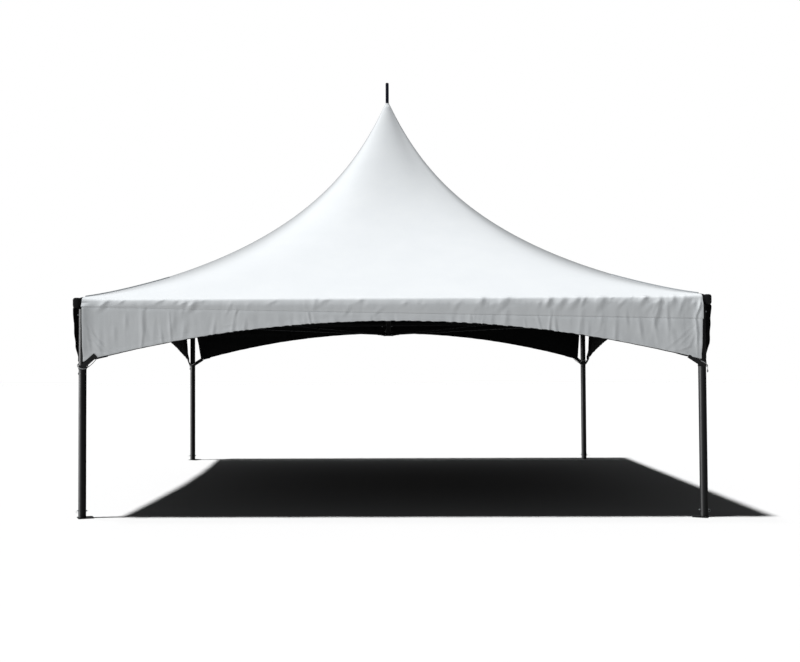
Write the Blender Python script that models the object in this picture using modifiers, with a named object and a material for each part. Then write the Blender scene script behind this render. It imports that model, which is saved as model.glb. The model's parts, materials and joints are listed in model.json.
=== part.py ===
"""High-peak frame marquee tent, 20 ft square on its legs.

Four legs on base plates carry a square eave frame of round tube. A short mast floats over the middle
on four taut cables and pushes up the peak of the roof, whose section is round at the crown and square
at the eave. An arched valance hangs from each side of the eave and is tied to the legs.
Metres, +Z up, the origin on the ground at the middle of the tent.
"""

import math

import bmesh
import bpy
from mathutils import Matrix, Vector

# Plan and heights
LEG_AXIS = 3.050
BEAM_AXIS = 3.085
EAVE_Z = 2.115
SPIRE_TOP = 5.100
GAP = 0.0003

# Tube frame
TUBE_R = 0.038
TUBE_WALL = 0.0032
SPIGOT_R = TUBE_R - TUBE_WALL - GAP
COLLAR_END = 3.070
BEAM_END = 3.000
ARM_SPIGOT_END = 2.880
LEG_TOP = 2.060
LEG_SPIGOT_BOTTOM = 1.930
BURIED = 0.012
BALL_LESS = 0.001
BALL_COLUMNS = 16
BALL_ROWS = 8
ROPE_STEPS = 8
HOLE_STEPS = 12
SPLICE_LENGTH = 0.300
TUBE_STEPS = 20
SMOOTH_UNDER = math.radians(35)

# Base plates, turned a little about the leg and set inward of it
PLATE_SIDE = 0.152
PLATE_THICKNESS = 0.006
PLATE_TURN = math.radians(23)
PLATE_INSET = 0.033
STAKE_HOLE_R = 0.009
STAKE_HOLE_OUT = 0.060
STAKE_CUT_LENGTH = 0.018
FOOT_SPIGOT_TOP = 0.090

# Sheet of the roof and the valances
SHEET = 0.003
SHEET_CLEAR = 0.0008
WRAP_R = TUBE_R + SHEET_CLEAR + SHEET
WRAP_STEPS = 4

# Roof: hip half-width s runs from 0 at the peak to 1 at the eave
ROOF_RISE = 2.735
ROOF_BEND = 1.50
PEAK_SHARE = 0.226
PEAK_BEND = 9.3
SQUARE_CORNER = 0.001
ROOF_TOP_S = 0.0078
ROOF_ROWS = 13
ROOF_ROW_CROWDING = 1.7
ROOF_COLUMNS = 14
SLOPE_STEP = 0.001
PANEL_GAP = 0.0002

# Valances
ARCH_END = 1.548
ARCH_TOP = {"front": 1.924, "right": 1.945, "back": 1.965, "left": 1.945}
ARCH_SPAN = 3.000
VALANCE_HALF = 3.033
VALANCE_LEAN = 0.035
VALANCE_DEPTH = 0.560
VALANCE_COLUMNS = 24
VALANCE_ROWS = 2

# Mast, crown and spire
MAST_R = 0.030
MAST_FOOT_Z = 1.850
MAST_CUP_FLOOR = 0.018
MAST_CUP_TOP = 1.930
MAST_CUP_R = 0.036
CROWN_S = 0.022
CROWN_STATIONS = 5
SPIRE_R = 0.0175

# Cables, their forks and lugs, set along the diagonals
CABLE_R = 0.006
LUG_HALF = 0.005
LUG_RISE = 0.018
LUG_HOLE_R = 0.006
FOOT_LUG_OUT = 0.085
FOOT_PIN_OUT = 0.070
FOOT_PIN_Z = 1.868
CORNER_LUG_IN = 4.222
CORNER_PIN_OUT = 4.240
CORNER_PIN_Z = 2.083
HOLE_CUT_HALF = 0.015
FIRST_DIAGONAL = math.radians(225)
FORK_CHEEK = 0.005
FORK_HALF_HEIGHT = 0.0132
FORK_REACH = 0.014
FORK_BACK = 0.050
PIN_PROUD = 0.002

# Ties between the legs and the valances
BAND_Z = 1.485
BAND_HALF_HEIGHT = 0.020
BAND_WALL = 0.0035
STRAP_WIDTH = 0.026
STRAP_THICKNESS = 0.003
STRAP_TO = 2.900
STRAP_TO_Z = 1.600
STRAP_CLEAR = 0.0006

SIDES = ("front", "right", "back", "left")
CORNERS = ("front_left", "front_right", "rear_right", "rear_left")
CORNER_SIGNS = ((-1, -1), (1, -1), (1, 1), (-1, 1))


def clear_scene():
    for item in list(bpy.data.objects):
        bpy.data.objects.remove(item, do_unlink=True)


def new_collection(name):
    group = bpy.data.collections.new(name)
    bpy.context.scene.collection.children.link(group)
    return group


def new_material(name, colour, roughness, metallic):
    finish = bpy.data.materials.new(name)
    finish.use_nodes = True
    shader = finish.node_tree.nodes["Principled BSDF"]
    shader.inputs["Base Color"].default_value = (*colour, 1.0)
    shader.inputs["Roughness"].default_value = roughness
    shader.inputs["Metallic"].default_value = metallic
    return finish


def add_piece(name, mesh, finish, place=Matrix.Identity(4)):
    """Link a mesh as a named piece of the tent."""
    piece = bpy.data.objects.new(name, mesh)
    piece.matrix_world = place
    if not mesh.materials:
        mesh.materials.append(finish)
    parts.objects.link(piece)
    return piece


def add_helper(name, mesh, place=Matrix.Identity(4)):
    """Link a shape that only cuts or joins another one."""
    helper = bpy.data.objects.new(name, mesh)
    helper.matrix_world = place
    helper.hide_render = True
    helper.display_type = "WIRE"
    helpers.objects.link(helper)
    return helper


def mesh_from(bm, name):
    bmesh.ops.recalc_face_normals(bm, faces=bm.faces[:])
    if bm.calc_volume(signed=True) < 0:
        bmesh.ops.reverse_faces(bm, faces=bm.faces[:])
    mesh = bpy.data.meshes.new(name)
    bm.to_mesh(mesh)
    bm.free()
    return mesh


def cylinder_mesh(name, radius, length, steps=TUBE_STEPS):
    """A capped cylinder on the Z axis, from z = 0 up."""
    bm = bmesh.new()
    bmesh.ops.create_cone(
        bm, cap_ends=True, segments=steps, radius1=radius, radius2=radius, depth=length,
        matrix=Matrix.Translation((0, 0, length / 2)))
    return mesh_from(bm, name)


def box_mesh(name, low, high):
    bm = bmesh.new()
    size = [b - a for a, b in zip(low, high)]
    middle = [(a + b) / 2 for a, b in zip(low, high)]
    bmesh.ops.create_cube(bm, size=1.0, matrix=Matrix.Translation(middle) @ Matrix.Diagonal((*size, 1)))
    return mesh_from(bm, name)


def turned_piece(name, profile, finish, place=Matrix.Identity(4), closed=False):
    """Turn a profile of (radius, height) points about Z; closed=True joins its ends into a ring."""
    mesh = bpy.data.meshes.new(name)
    points = [(radius, 0, height) for radius, height in profile]
    edges = [(i, i + 1) for i in range(len(points) - 1)]
    if closed:
        edges.append((len(points) - 1, 0))
    mesh.from_pydata(points, edges, [])
    piece = add_piece(name, mesh, finish, place)
    screw = piece.modifiers.new("turn", "SCREW")
    screw.steps = TUBE_STEPS
    screw.render_steps = TUBE_STEPS
    screw.use_merge_vertices = True
    screw.merge_threshold = 0.00001
    return piece


def along(start, end):
    """A placement that carries the Z axis from one point towards another."""
    start = Vector(start)
    turn = (Vector(end) - start).to_track_quat("Z", "Y").to_matrix().to_4x4()
    return Matrix.Translation(start) @ turn


def tube_piece(name, start, end, finish):
    length = (Vector(end) - Vector(start)).length
    inner = TUBE_R - TUBE_WALL
    ring = [(TUBE_R, length), (TUBE_R, 0), (inner, 0), (inner, length)]
    return turned_piece(name, ring, finish, along(start, end), closed=True)


def combine(piece, helper, operation):
    step = piece.modifiers.new(operation.lower(), "BOOLEAN")
    step.operation = operation
    step.object = helper
    return step


def baked_mesh(piece, name):
    """The evaluated mesh of a piece, as plain geometry."""
    bpy.context.view_layer.update()
    graph = bpy.context.evaluated_depsgraph_get()
    mesh = bpy.data.meshes.new_from_object(piece.evaluated_get(graph))
    mesh.name = name
    mesh.transform(piece.matrix_world)
    return mesh


def smooth(mesh):
    mesh.shade_smooth()
    mesh.set_sharp_from_angle(angle=SMOOTH_UNDER)


def quarter_turn(count):
    return Matrix.Rotation(count * math.pi / 2, 4, "Z")


def roof_fall(s, bend):
    """A curve from 1 at the peak to 0 at the eave, steeper near the peak."""
    end = math.exp(-bend)
    return (math.exp(-bend * s) - end) / (1 - end)


def roof_height(s):
    rise = (1 - PEAK_SHARE) * roof_fall(s, ROOF_BEND) + PEAK_SHARE * roof_fall(s, PEAK_BEND)
    return ROOF_EDGE_Z + ROOF_RISE * rise


def corner_power(s):
    """0.5 makes a round section and 0 a square one."""
    return max((1 - s) / 2, SQUARE_CORNER)


def side_distance(s):
    """Distance from the tent's axis to the middle of a side of the section."""
    return ROOF_EDGE * s * 2 ** corner_power(s)


def roof_slope(s):
    run = side_distance(s + SLOPE_STEP) - side_distance(s)
    return (roof_height(s + SLOPE_STEP) - roof_height(s)) / run


def edge_slope():
    """Slope of the roof where it meets the eave tube."""
    share = (1 - PEAK_SHARE) * ROOF_BEND * math.exp(-ROOF_BEND) / (1 - math.exp(-ROOF_BEND))
    run = BEAM_AXIS * (1 - math.log(2) / 2)
    return math.atan(ROOF_RISE * share / run)


EDGE_TILT = edge_slope()
ROOF_EDGE = BEAM_AXIS + WRAP_R * math.sin(EDGE_TILT)
ROOF_EDGE_Z = EAVE_Z + WRAP_R * math.cos(EDGE_TILT)


def roof_profile():
    """Stations down the middle of a side: power, distance, height and outward normal."""
    stations = []
    for row in range(ROOF_ROWS):
        share = row / ROOF_ROWS
        s = ROOF_TOP_S + (1 - ROOF_TOP_S) * share ** ROOF_ROW_CROWDING
        slope = roof_slope(s)
        scale = math.hypot(1, slope)
        stations.append((corner_power(s), side_distance(s), roof_height(s), -slope / scale, 1 / scale))
    for step in range(WRAP_STEPS + 1):
        angle = EDGE_TILT + (math.pi / 2 - EDGE_TILT) * step / WRAP_STEPS
        outward, upward = math.sin(angle), math.cos(angle)
        stations.append((SQUARE_CORNER, BEAM_AXIS + WRAP_R * outward, EAVE_Z + WRAP_R * upward,
                         outward, upward))
    return stations


def section_point(power, distance, across, height):
    """A point on a section, where across runs from -1 to 1 between the hips of the front side."""
    bearing = math.atan(across)
    exponent = 1 / power
    spread = (math.cos(bearing) ** exponent + abs(math.sin(bearing)) ** exponent) ** power
    reach = distance / spread
    return Vector((reach * math.sin(bearing), -reach * math.cos(bearing), height))


def sheet_mesh(name, columns, rows, place_point):
    """A thin closed sheet: place_point(u, v, depth) gives its outer face at 0 and inner face at 1."""
    bm = bmesh.new()
    bmesh.ops.create_grid(bm, x_segments=columns, y_segments=rows, size=0.5)
    sides = bmesh.ops.extrude_face_region(bm, geom=bm.faces[:])["geom"]
    for item in sides:
        if isinstance(item, bmesh.types.BMVert):
            item.co.z = 1.0
    for vert in bm.verts:
        vert.co = place_point(vert.co.x + 0.5, vert.co.y + 0.5, vert.co.z)
    mesh = mesh_from(bm, name)
    smooth(mesh)
    return mesh


def roof_panel_mesh():
    stations = roof_profile()

    def place_point(u, v, depth):
        power, distance, height, outward, upward = stations[round(v * (len(stations) - 1))]
        across = math.sin(math.pi * (u - 0.5))
        shift = SHEET * depth
        point = section_point(power, distance - shift * outward, across, height - shift * upward)
        point.y -= PANEL_GAP
        return point

    return sheet_mesh("roof_panel", ROOF_COLUMNS, len(stations) - 1, place_point)


def valance_face(across, height):
    """Distance of a valance's outer face from the tent's axis: its lower corners lean in to the legs."""
    fall = (EAVE_Z - height) / VALANCE_DEPTH
    return BEAM_AXIS + WRAP_R - VALANCE_LEAN * across ** 2 * fall


def valance_mesh(side):
    top = EAVE_Z - GAP

    def place_point(u, v, depth):
        across = 2 * u - 1
        arch = (across * VALANCE_HALF / ARCH_SPAN) ** 2
        bottom = ARCH_TOP[side] - (ARCH_TOP[side] - ARCH_END) * arch
        height = top + (bottom - top) * v
        return Vector((across * VALANCE_HALF, SHEET * depth - valance_face(across, height), height))

    return sheet_mesh(f"valance_{side}", VALANCE_COLUMNS, VALANCE_ROWS, place_point)


def make_sheets():
    panel = roof_panel_mesh()
    for count, side in enumerate(SIDES):
        add_piece(f"roof_{side}", panel, canopy_white, quarter_turn(count))
        add_piece(f"valance_{side}", valance_mesh(side), canopy_white, quarter_turn(count))


def make_legs():
    foot = PLATE_THICKNESS + GAP
    for corner, (x_sign, y_sign) in zip(CORNERS, CORNER_SIGNS):
        x, y = LEG_AXIS * x_sign, LEG_AXIS * y_sign
        tube_piece(f"leg_{corner}", (x, y, foot), (x, y, LEG_TOP - GAP), frame_grey)


def make_base_plates():
    half = PLATE_SIDE / 2
    for corner, (x_sign, y_sign) in zip(CORNERS, CORNER_SIGNS):
        x, y = LEG_AXIS * x_sign, LEG_AXIS * y_sign
        turn = Matrix.Rotation(PLATE_TURN * x_sign * y_sign, 4, "Z")
        middle = Matrix.Translation((x - PLATE_INSET * x_sign, y, 0)) @ turn
        plate = add_piece(f"base_plate_{corner}",
                          box_mesh("plate", (-half, -half, 0), (half, half, PLATE_THICKNESS)),
                          frame_grey, middle)
        spigot = cylinder_mesh("foot_spigot", SPIGOT_R, FOOT_SPIGOT_TOP - PLATE_THICKNESS / 2)
        combine(plate, add_helper(f"spigot_{corner}", spigot,
                                  Matrix.Translation((x, y, PLATE_THICKNESS / 2))), "UNION")
        hole = cylinder_mesh("stake_hole", STAKE_HOLE_R, STAKE_CUT_LENGTH, HOLE_STEPS)
        for number, side in enumerate((-1, 1)):
            spot = Matrix.Translation((-STAKE_HOLE_OUT * x_sign, STAKE_HOLE_OUT * side, -PLATE_THICKNESS))
            combine(plate, add_helper(f"stake_hole_{corner}_{number}", hole, middle @ spot), "DIFFERENCE")


def corner_fitting_mesh():
    """The front-left fitting: two arms along the eave, a leg spigot and a lug for the cable."""
    middle = Vector((-BEAM_AXIS, -BEAM_AXIS, EAVE_Z))
    piece = add_piece("fitting", cylinder_mesh("leg_collar", TUBE_R, EAVE_Z - LEG_TOP), frame_grey,
                      Matrix.Translation((-LEG_AXIS, -LEG_AXIS, LEG_TOP)))
    leg_spigot = cylinder_mesh("leg_spigot", SPIGOT_R, LEG_TOP + BURIED - LEG_SPIGOT_BOTTOM)
    shapes = [(leg_spigot, Matrix.Translation((-LEG_AXIS, -LEG_AXIS, LEG_SPIGOT_BOTTOM)))]
    for axis in range(2):
        inward = Vector((1 - axis, axis, 0))
        collar_start = middle + inward * (BEAM_AXIS - COLLAR_END)
        collar_end = middle + inward * (BEAM_AXIS - BEAM_END)
        spigot_start = collar_end - inward * BURIED
        spigot_end = middle + inward * (BEAM_AXIS - ARM_SPIGOT_END)
        collar_length = (collar_end - collar_start).length
        spigot_length = (spigot_end - spigot_start).length
        shapes.append((cylinder_mesh("arm_collar", TUBE_R, collar_length), along(collar_start, collar_end)))
        shapes.append((cylinder_mesh("arm_spigot", SPIGOT_R, spigot_length), along(spigot_start, spigot_end)))
    ball = bmesh.new()
    bmesh.ops.create_uvsphere(ball, u_segments=BALL_COLUMNS, v_segments=BALL_ROWS, radius=TUBE_R - BALL_LESS)
    shapes.append((mesh_from(ball, "corner_ball"), Matrix.Translation(middle)))
    leg_out = LEG_AXIS * math.sqrt(2)
    lug = box_mesh("lug", (CORNER_LUG_IN, -LUG_HALF, CORNER_PIN_Z - LUG_RISE),
                   (leg_out, LUG_HALF, CORNER_PIN_Z + LUG_RISE))
    shapes.append((lug, diagonal_turn(0)))
    for number, (mesh, place) in enumerate(shapes):
        combine(piece, add_helper(f"fitting_shape_{number}", mesh, place), "UNION")
    hole = add_helper("lug_hole", cylinder_mesh("pin_hole", LUG_HOLE_R, 2 * HOLE_CUT_HALF, HOLE_STEPS),
                      pin_place(0, CORNER_PIN_OUT, CORNER_PIN_Z, HOLE_CUT_HALF))
    combine(piece, hole, "DIFFERENCE")
    mesh = baked_mesh(piece, "corner_fitting")
    bpy.data.objects.remove(piece, do_unlink=True)
    smooth(mesh)
    return mesh


def diagonal_turn(count):
    """Turns the X axis onto the diagonal of a corner, counted round from the front left."""
    return Matrix.Rotation(FIRST_DIAGONAL + count * math.pi / 2, 4, "Z")


def pin_place(count, out, height, half_length):
    """Places a pin's length across a diagonal, level."""
    level = Matrix.Rotation(-math.pi / 2, 4, "X")
    return diagonal_turn(count) @ Matrix.Translation((out, -half_length, height)) @ level


def make_corner_fittings():
    mesh = corner_fitting_mesh()
    for count, corner in enumerate(CORNERS):
        add_piece(f"corner_fitting_{corner}", mesh, frame_grey, quarter_turn(count))


def make_eave():
    """Each side of the eave is two tubes butted over an inner splice sleeve."""
    for count, side in enumerate(SIDES):
        for hand, sign in (("left", -1), ("right", 1)):
            place = quarter_turn(count)
            outer = place @ Vector((sign * (BEAM_END - GAP), -BEAM_AXIS, EAVE_Z))
            inner = place @ Vector((sign * GAP / 2, -BEAM_AXIS, EAVE_Z))
            tube_piece(f"eave_beam_{side}_{hand}", outer, inner, frame_grey)
        start = place @ Vector((-SPLICE_LENGTH / 2, -BEAM_AXIS, EAVE_Z))
        end = place @ Vector((SPLICE_LENGTH / 2, -BEAM_AXIS, EAVE_Z))
        sleeve = cylinder_mesh("splice_sleeve", SPIGOT_R, SPLICE_LENGTH)
        add_piece(f"eave_splice_{side}", sleeve, frame_grey, along(start, end))


def make_mast():
    mast_bottom = MAST_FOOT_Z + MAST_CUP_FLOOR + GAP
    mast_top = crown_outline()[-1][1] - GAP
    inner = MAST_R - TUBE_WALL
    turned_piece("mast", [(MAST_R, mast_top), (MAST_R, mast_bottom), (inner, mast_bottom), (inner, mast_top)],
                 frame_grey, closed=True)
    bore = MAST_R + GAP
    floor = MAST_FOOT_Z + MAST_CUP_FLOOR
    cup = turned_piece("cup", [(0, floor), (bore, floor), (bore, MAST_CUP_TOP), (MAST_CUP_R, MAST_CUP_TOP),
                               (MAST_CUP_R, MAST_FOOT_Z), (0, MAST_FOOT_Z)], frame_grey)
    foot = add_piece("mast_foot", baked_mesh(cup, "mast_foot"), frame_grey)
    bpy.data.objects.remove(cup, do_unlink=True)
    for count in range(4):
        low = (bore + GAP, -LUG_HALF, FOOT_PIN_Z - LUG_RISE)
        high = (FOOT_LUG_OUT, LUG_HALF, FOOT_PIN_Z + LUG_RISE)
        combine(foot, add_helper(f"foot_lug_{count}", box_mesh("foot_lug", low, high), diagonal_turn(count)),
                "UNION")
    for count in range(4):
        hole = cylinder_mesh("foot_pin_hole", LUG_HOLE_R, 2 * HOLE_CUT_HALF, HOLE_STEPS)
        combine(foot, add_helper(f"foot_hole_{count}", hole,
                                 pin_place(count, FOOT_PIN_OUT, FOOT_PIN_Z, HOLE_CUT_HALF)), "DIFFERENCE")


def crown_outline():
    """Points down the crown's cone, just inside the top of the roof."""
    outline = []
    shift = SHEET + SHEET_CLEAR
    for station in range(CROWN_STATIONS):
        s = ROOF_TOP_S + (CROWN_S - ROOF_TOP_S) * station / (CROWN_STATIONS - 1)
        slope = roof_slope(s)
        scale = math.hypot(1, slope)
        outline.append((side_distance(s) + shift * slope / scale, roof_height(s) - shift / scale))
    return outline


def make_crown():
    """A turned cone that fills the top of the roof, and the spire on it."""
    outline = crown_outline()
    crown_top = outline[0][1]
    crown_bottom = outline[-1][1]
    turned_piece("crown_cone", [(0, crown_top)] + outline + [(0, crown_bottom)], frame_grey)
    spire = cylinder_mesh("spire_rod", SPIRE_R, SPIRE_TOP - crown_top - GAP, HOLE_STEPS)
    add_piece("spire_rod", spire, spire_navy, Matrix.Translation((0, 0, crown_top + GAP)))


def fork_mesh():
    """A fork with its pin's hole at the origin, its cable along +X and its slot level across Y."""
    outer = LUG_HALF + GAP + FORK_CHEEK
    inner = LUG_HALF + GAP
    neck = FORK_BACK - 2 * FORK_CHEEK
    outline = [(-FORK_REACH, inner), (neck, inner), (neck, -inner), (-FORK_REACH, -inner),
               (-FORK_REACH, -outer), (FORK_BACK, -outer), (FORK_BACK, outer), (-FORK_REACH, outer)]
    bm = bmesh.new()
    face = bm.faces.new([bm.verts.new((x, y, -FORK_HALF_HEIGHT)) for x, y in outline])
    raised = bmesh.ops.extrude_face_region(bm, geom=[face])["geom"]
    bmesh.ops.translate(bm, vec=(0, 0, 2 * FORK_HALF_HEIGHT),
                        verts=[item for item in raised if isinstance(item, bmesh.types.BMVert)])
    return mesh_from(bm, "fork")


def make_cables():
    fork = fork_mesh()
    pin_length = 2 * (LUG_HALF + GAP + FORK_CHEEK + PIN_PROUD)
    pin = cylinder_mesh("fork_pin", LUG_HOLE_R - 2 * GAP, pin_length, HOLE_STEPS)
    across = Matrix.Translation((0, -pin_length / 2, 0)) @ Matrix.Rotation(-math.pi / 2, 4, "X")
    for count, corner in enumerate(CORNERS):
        low = Vector((FOOT_PIN_OUT, 0, FOOT_PIN_Z))
        high = Vector((CORNER_PIN_OUT, 0, CORNER_PIN_Z))
        length = (high - low).length
        tilt = math.atan2(high.z - low.z, high.x - low.x)
        start = diagonal_turn(count) @ Matrix.Translation(low) @ Matrix.Rotation(-tilt, 4, "Y")
        rope = cylinder_mesh("rope", CABLE_R, length - 2 * FORK_BACK + 2 * FORK_CHEEK, ROPE_STEPS)
        lay = start @ Matrix.Translation((FORK_BACK - FORK_CHEEK, 0, 0)) @ Matrix.Rotation(math.pi / 2, 4, "Y")
        cable = add_piece(f"cable_{corner}", rope, cable_steel, lay)
        far = start @ Matrix.Translation((length, 0, 0)) @ Matrix.Rotation(math.pi, 4, "Z")
        for end, place in (("low", start), ("high", far)):
            combine(cable, add_helper(f"fork_{corner}_{end}", fork, place), "UNION")
            combine(cable, add_helper(f"fork_pin_{corner}_{end}", pin, place @ across), "UNION")


def make_leg_ties():
    """A webbing band round each leg, with a strap up over the lower corner of each valance beside it."""
    bore = TUBE_R + GAP
    ring = [(bore + BAND_WALL, BAND_Z + BAND_HALF_HEIGHT), (bore + BAND_WALL, BAND_Z - BAND_HALF_HEIGHT),
            (bore, BAND_Z - BAND_HALF_HEIGHT), (bore, BAND_Z + BAND_HALF_HEIGHT)]
    strap_face = valance_face(STRAP_TO / VALANCE_HALF, STRAP_TO_Z) + STRAP_CLEAR + STRAP_THICKNESS / 2
    for count, corner in enumerate(CORNERS):
        place = quarter_turn(count)
        leg = place @ Matrix.Translation((-LEG_AXIS, -LEG_AXIS, 0))
        tie = turned_piece(f"leg_tie_{corner}", ring, webbing_black, leg, closed=True)
        for number in range(2):
            start = Vector((-LEG_AXIS, -LEG_AXIS - bore - BAND_WALL / 2, BAND_Z))
            end = Vector((-STRAP_TO, -strap_face, STRAP_TO_Z))
            if number:
                start.x, start.y = start.y, start.x
                end.x, end.y = end.y, end.x
            length = (end - start).length
            half = STRAP_THICKNESS / 2
            strap = box_mesh("strap", (-half, -STRAP_WIDTH / 2, 0), (half, STRAP_WIDTH / 2, length))
            heading = (end - start).normalized()
            flat = Vector((0, 1, 0)) if number == 0 else Vector((1, 0, 0))
            width = heading.cross(flat).normalized()
            normal = width.cross(heading)
            frame = Matrix((normal, width, heading)).transposed().to_4x4()
            spot = place @ Matrix.Translation(start) @ frame
            combine(tie, add_helper(f"strap_{corner}_{number}", strap, spot), "UNION")


clear_scene()
parts = new_collection("marquee_tent")
helpers = new_collection("construction")
canopy_white = new_material("canopy_white", (0.86, 0.88, 0.89), 0.45, 0.0)
frame_grey = new_material("frame_grey", (0.055, 0.057, 0.062), 0.42, 0.8)
cable_steel = new_material("cable_steel", (0.10, 0.10, 0.11), 0.45, 0.9)
webbing_black = new_material("webbing_black", (0.018, 0.018, 0.020), 0.85, 0.0)
spire_navy = new_material("spire_navy", (0.010, 0.014, 0.045), 0.40, 0.0)
make_legs()
make_base_plates()
make_corner_fittings()
make_eave()
make_mast()
make_crown()
make_cables()
make_sheets()
make_leg_ties()
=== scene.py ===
"""Looks of a high-peak frame marquee tent: coated canopy, arched valances, tube frame and wire ropes.

Metres, +Z up, the origin on the ground under the middle of the tent, the front towards -Y.
"""

import json
import logging
import math
import random
from collections.abc import Callable, Iterable, Sequence
from dataclasses import dataclass, field
from enum import Enum

import bmesh
import bpy
from mathutils import Matrix, Vector, noise

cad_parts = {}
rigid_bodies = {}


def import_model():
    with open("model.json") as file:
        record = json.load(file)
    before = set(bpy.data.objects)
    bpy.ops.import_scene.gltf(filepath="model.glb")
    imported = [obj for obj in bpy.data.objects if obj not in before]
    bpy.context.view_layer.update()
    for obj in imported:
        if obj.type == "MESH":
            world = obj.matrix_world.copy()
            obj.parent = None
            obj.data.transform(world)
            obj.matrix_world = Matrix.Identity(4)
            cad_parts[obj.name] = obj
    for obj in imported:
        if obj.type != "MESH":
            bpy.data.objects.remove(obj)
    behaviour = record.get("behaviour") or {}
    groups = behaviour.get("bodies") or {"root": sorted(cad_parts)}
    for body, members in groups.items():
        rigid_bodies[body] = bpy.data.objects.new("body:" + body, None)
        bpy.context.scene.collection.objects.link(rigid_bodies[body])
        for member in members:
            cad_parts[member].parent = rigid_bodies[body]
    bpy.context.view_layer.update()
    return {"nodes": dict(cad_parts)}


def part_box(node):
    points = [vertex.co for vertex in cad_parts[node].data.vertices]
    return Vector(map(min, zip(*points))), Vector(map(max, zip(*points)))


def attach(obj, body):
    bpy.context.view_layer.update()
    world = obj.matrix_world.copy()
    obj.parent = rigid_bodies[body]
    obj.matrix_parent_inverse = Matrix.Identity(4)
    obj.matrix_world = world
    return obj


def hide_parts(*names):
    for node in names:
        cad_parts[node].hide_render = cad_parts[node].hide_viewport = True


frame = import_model()
LOG = logging.getLogger("marquee")
WEAVE_MAP = "weave"
FULL_TURN = 2 * math.pi
# Waves of the wave texture along one turn, at scale 1
WAVES_A_TURN = 20
Z_TO_X = Matrix.Rotation(math.pi / 2, 4, "Y")
# Slope from level at which the fabric leaves the eave tube and stands off it
LEAVE_ANGLE = math.radians(72)
# An edge that bends more than this stays sharp
SHARP_ANGLE = math.radians(38)
# Between parts that fit into each other
GAP = 0.0003
TUBE_WALL = 0.0032
LUG_HALF = 0.005
LUG_RISE = 0.018
FOOT_PIN_Z = 1.868
CORNER_PIN_Z = 2.083


class Quarter(Enum):
    """One of four like places round the tent; a piece is made at the first and turned to the others."""

    @property
    def label(self) -> str:
        """The place's name in the names of pieces."""
        return self.name.lower()

    @property
    def turn(self) -> Matrix:
        """Carries a piece made at the first place to this one."""
        return Matrix.Rotation(self.value * math.pi / 2, 4, "Z")


class Side(Quarter):
    """The four sides."""

    FRONT = 0
    RIGHT = 1
    BACK = 2
    LEFT = 3


class Corner(Quarter):
    """The four corners."""

    FRONT_LEFT = 0
    FRONT_RIGHT = 1
    REAR_RIGHT = 2
    REAR_LEFT = 3

    @property
    def diagonal(self) -> Matrix:
        """Turns the X axis onto the diagonal that runs out to this corner."""
        return Matrix.Rotation(math.radians(225) + self.value * math.pi / 2, 4, "Z")


@dataclass(frozen=True)
class Plan:
    """Driving sizes of the tent, read from its frame."""

    leg_axis: float
    leg_foot: float
    leg_top: float
    tube_r: float
    beam_axis: float
    beam_end: float
    eave_z: float
    mast_r: float
    mast_bottom: float
    mast_top: float
    crown_top: float
    spire_r: float
    spire_top: float
    sheet_out: float

    @classmethod
    def from_frame(cls) -> "Plan":
        """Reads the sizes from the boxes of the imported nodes.

        Returns:
            The tent's plan in metres.
        """
        leg_low, leg_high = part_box("leg_front_right")
        beam_low, beam_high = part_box("eave_beam_front_right")
        mast_low, mast_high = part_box("mast")
        _, crown_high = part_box("crown_cone")
        _, spire_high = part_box("spire_rod")
        roof_low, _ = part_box("roof_front")
        return cls(
            leg_axis=(leg_low.x + leg_high.x) / 2,
            leg_foot=leg_low.z,
            leg_top=leg_high.z,
            tube_r=(leg_high.x - leg_low.x) / 2,
            beam_axis=-(beam_low.y + beam_high.y) / 2,
            beam_end=beam_high.x,
            eave_z=(beam_low.z + beam_high.z) / 2,
            mast_r=mast_high.x,
            mast_bottom=mast_low.z,
            mast_top=mast_high.z,
            crown_top=crown_high.z,
            spire_r=spire_high.x,
            spire_top=spire_high.z,
            sheet_out=-roof_low.y,
        )


def linear(colour: str) -> tuple[float, float, float, float]:
    """Turns an sRGB hex colour to linear light.

    Args:
        colour: The colour as "#RRGGBB".

    Returns:
        Linear red, green, blue and an alpha of 1.
    """
    shares = [int(colour[place:place + 2], 16) / 255 for place in (1, 3, 5)]
    light = [share / 12.92 if share <= 0.04045 else ((share + 0.055) / 1.055) ** 2.4 for share in shares]
    return (*light, 1.0)


def fill(tree: bpy.types.NodeTree, node: bpy.types.Node, inputs: dict) -> None:
    """Sets a node's inputs, or links them.

    Args:
        tree: The tree that holds the node.
        node: The node.
        inputs: What each input, by name or number, is set to or linked from.
    """
    for key, value in inputs.items():
        if isinstance(value, bpy.types.NodeSocket):
            tree.links.new(value, node.inputs[key])
        else:
            node.inputs[key].default_value = value


def add_node(tree: bpy.types.NodeTree, kind: str, inputs: dict | None = None, **settings) -> bpy.types.Node:
    """Adds a node with its settings, its values and the links into it.

    Args:
        tree: The tree that gets the node.
        kind: Blender's name of the node's type.
        inputs: What each input, by name or number, is set to or linked from.
        settings: The node's own properties.

    Returns:
        The new node.
    """
    node = tree.nodes.new(kind)
    for name, value in settings.items():
        setattr(node, name, value)
    fill(tree, node, inputs or {})
    return node


def calculate(tree: bpy.types.NodeTree, operation: str, *values) -> bpy.types.NodeSocket:
    """Adds a calculation on numbers or sockets, such as MULTIPLY_ADD, and gives its result."""
    return add_node(tree, "ShaderNodeMath", dict(enumerate(values)), operation=operation).outputs[0]


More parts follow.
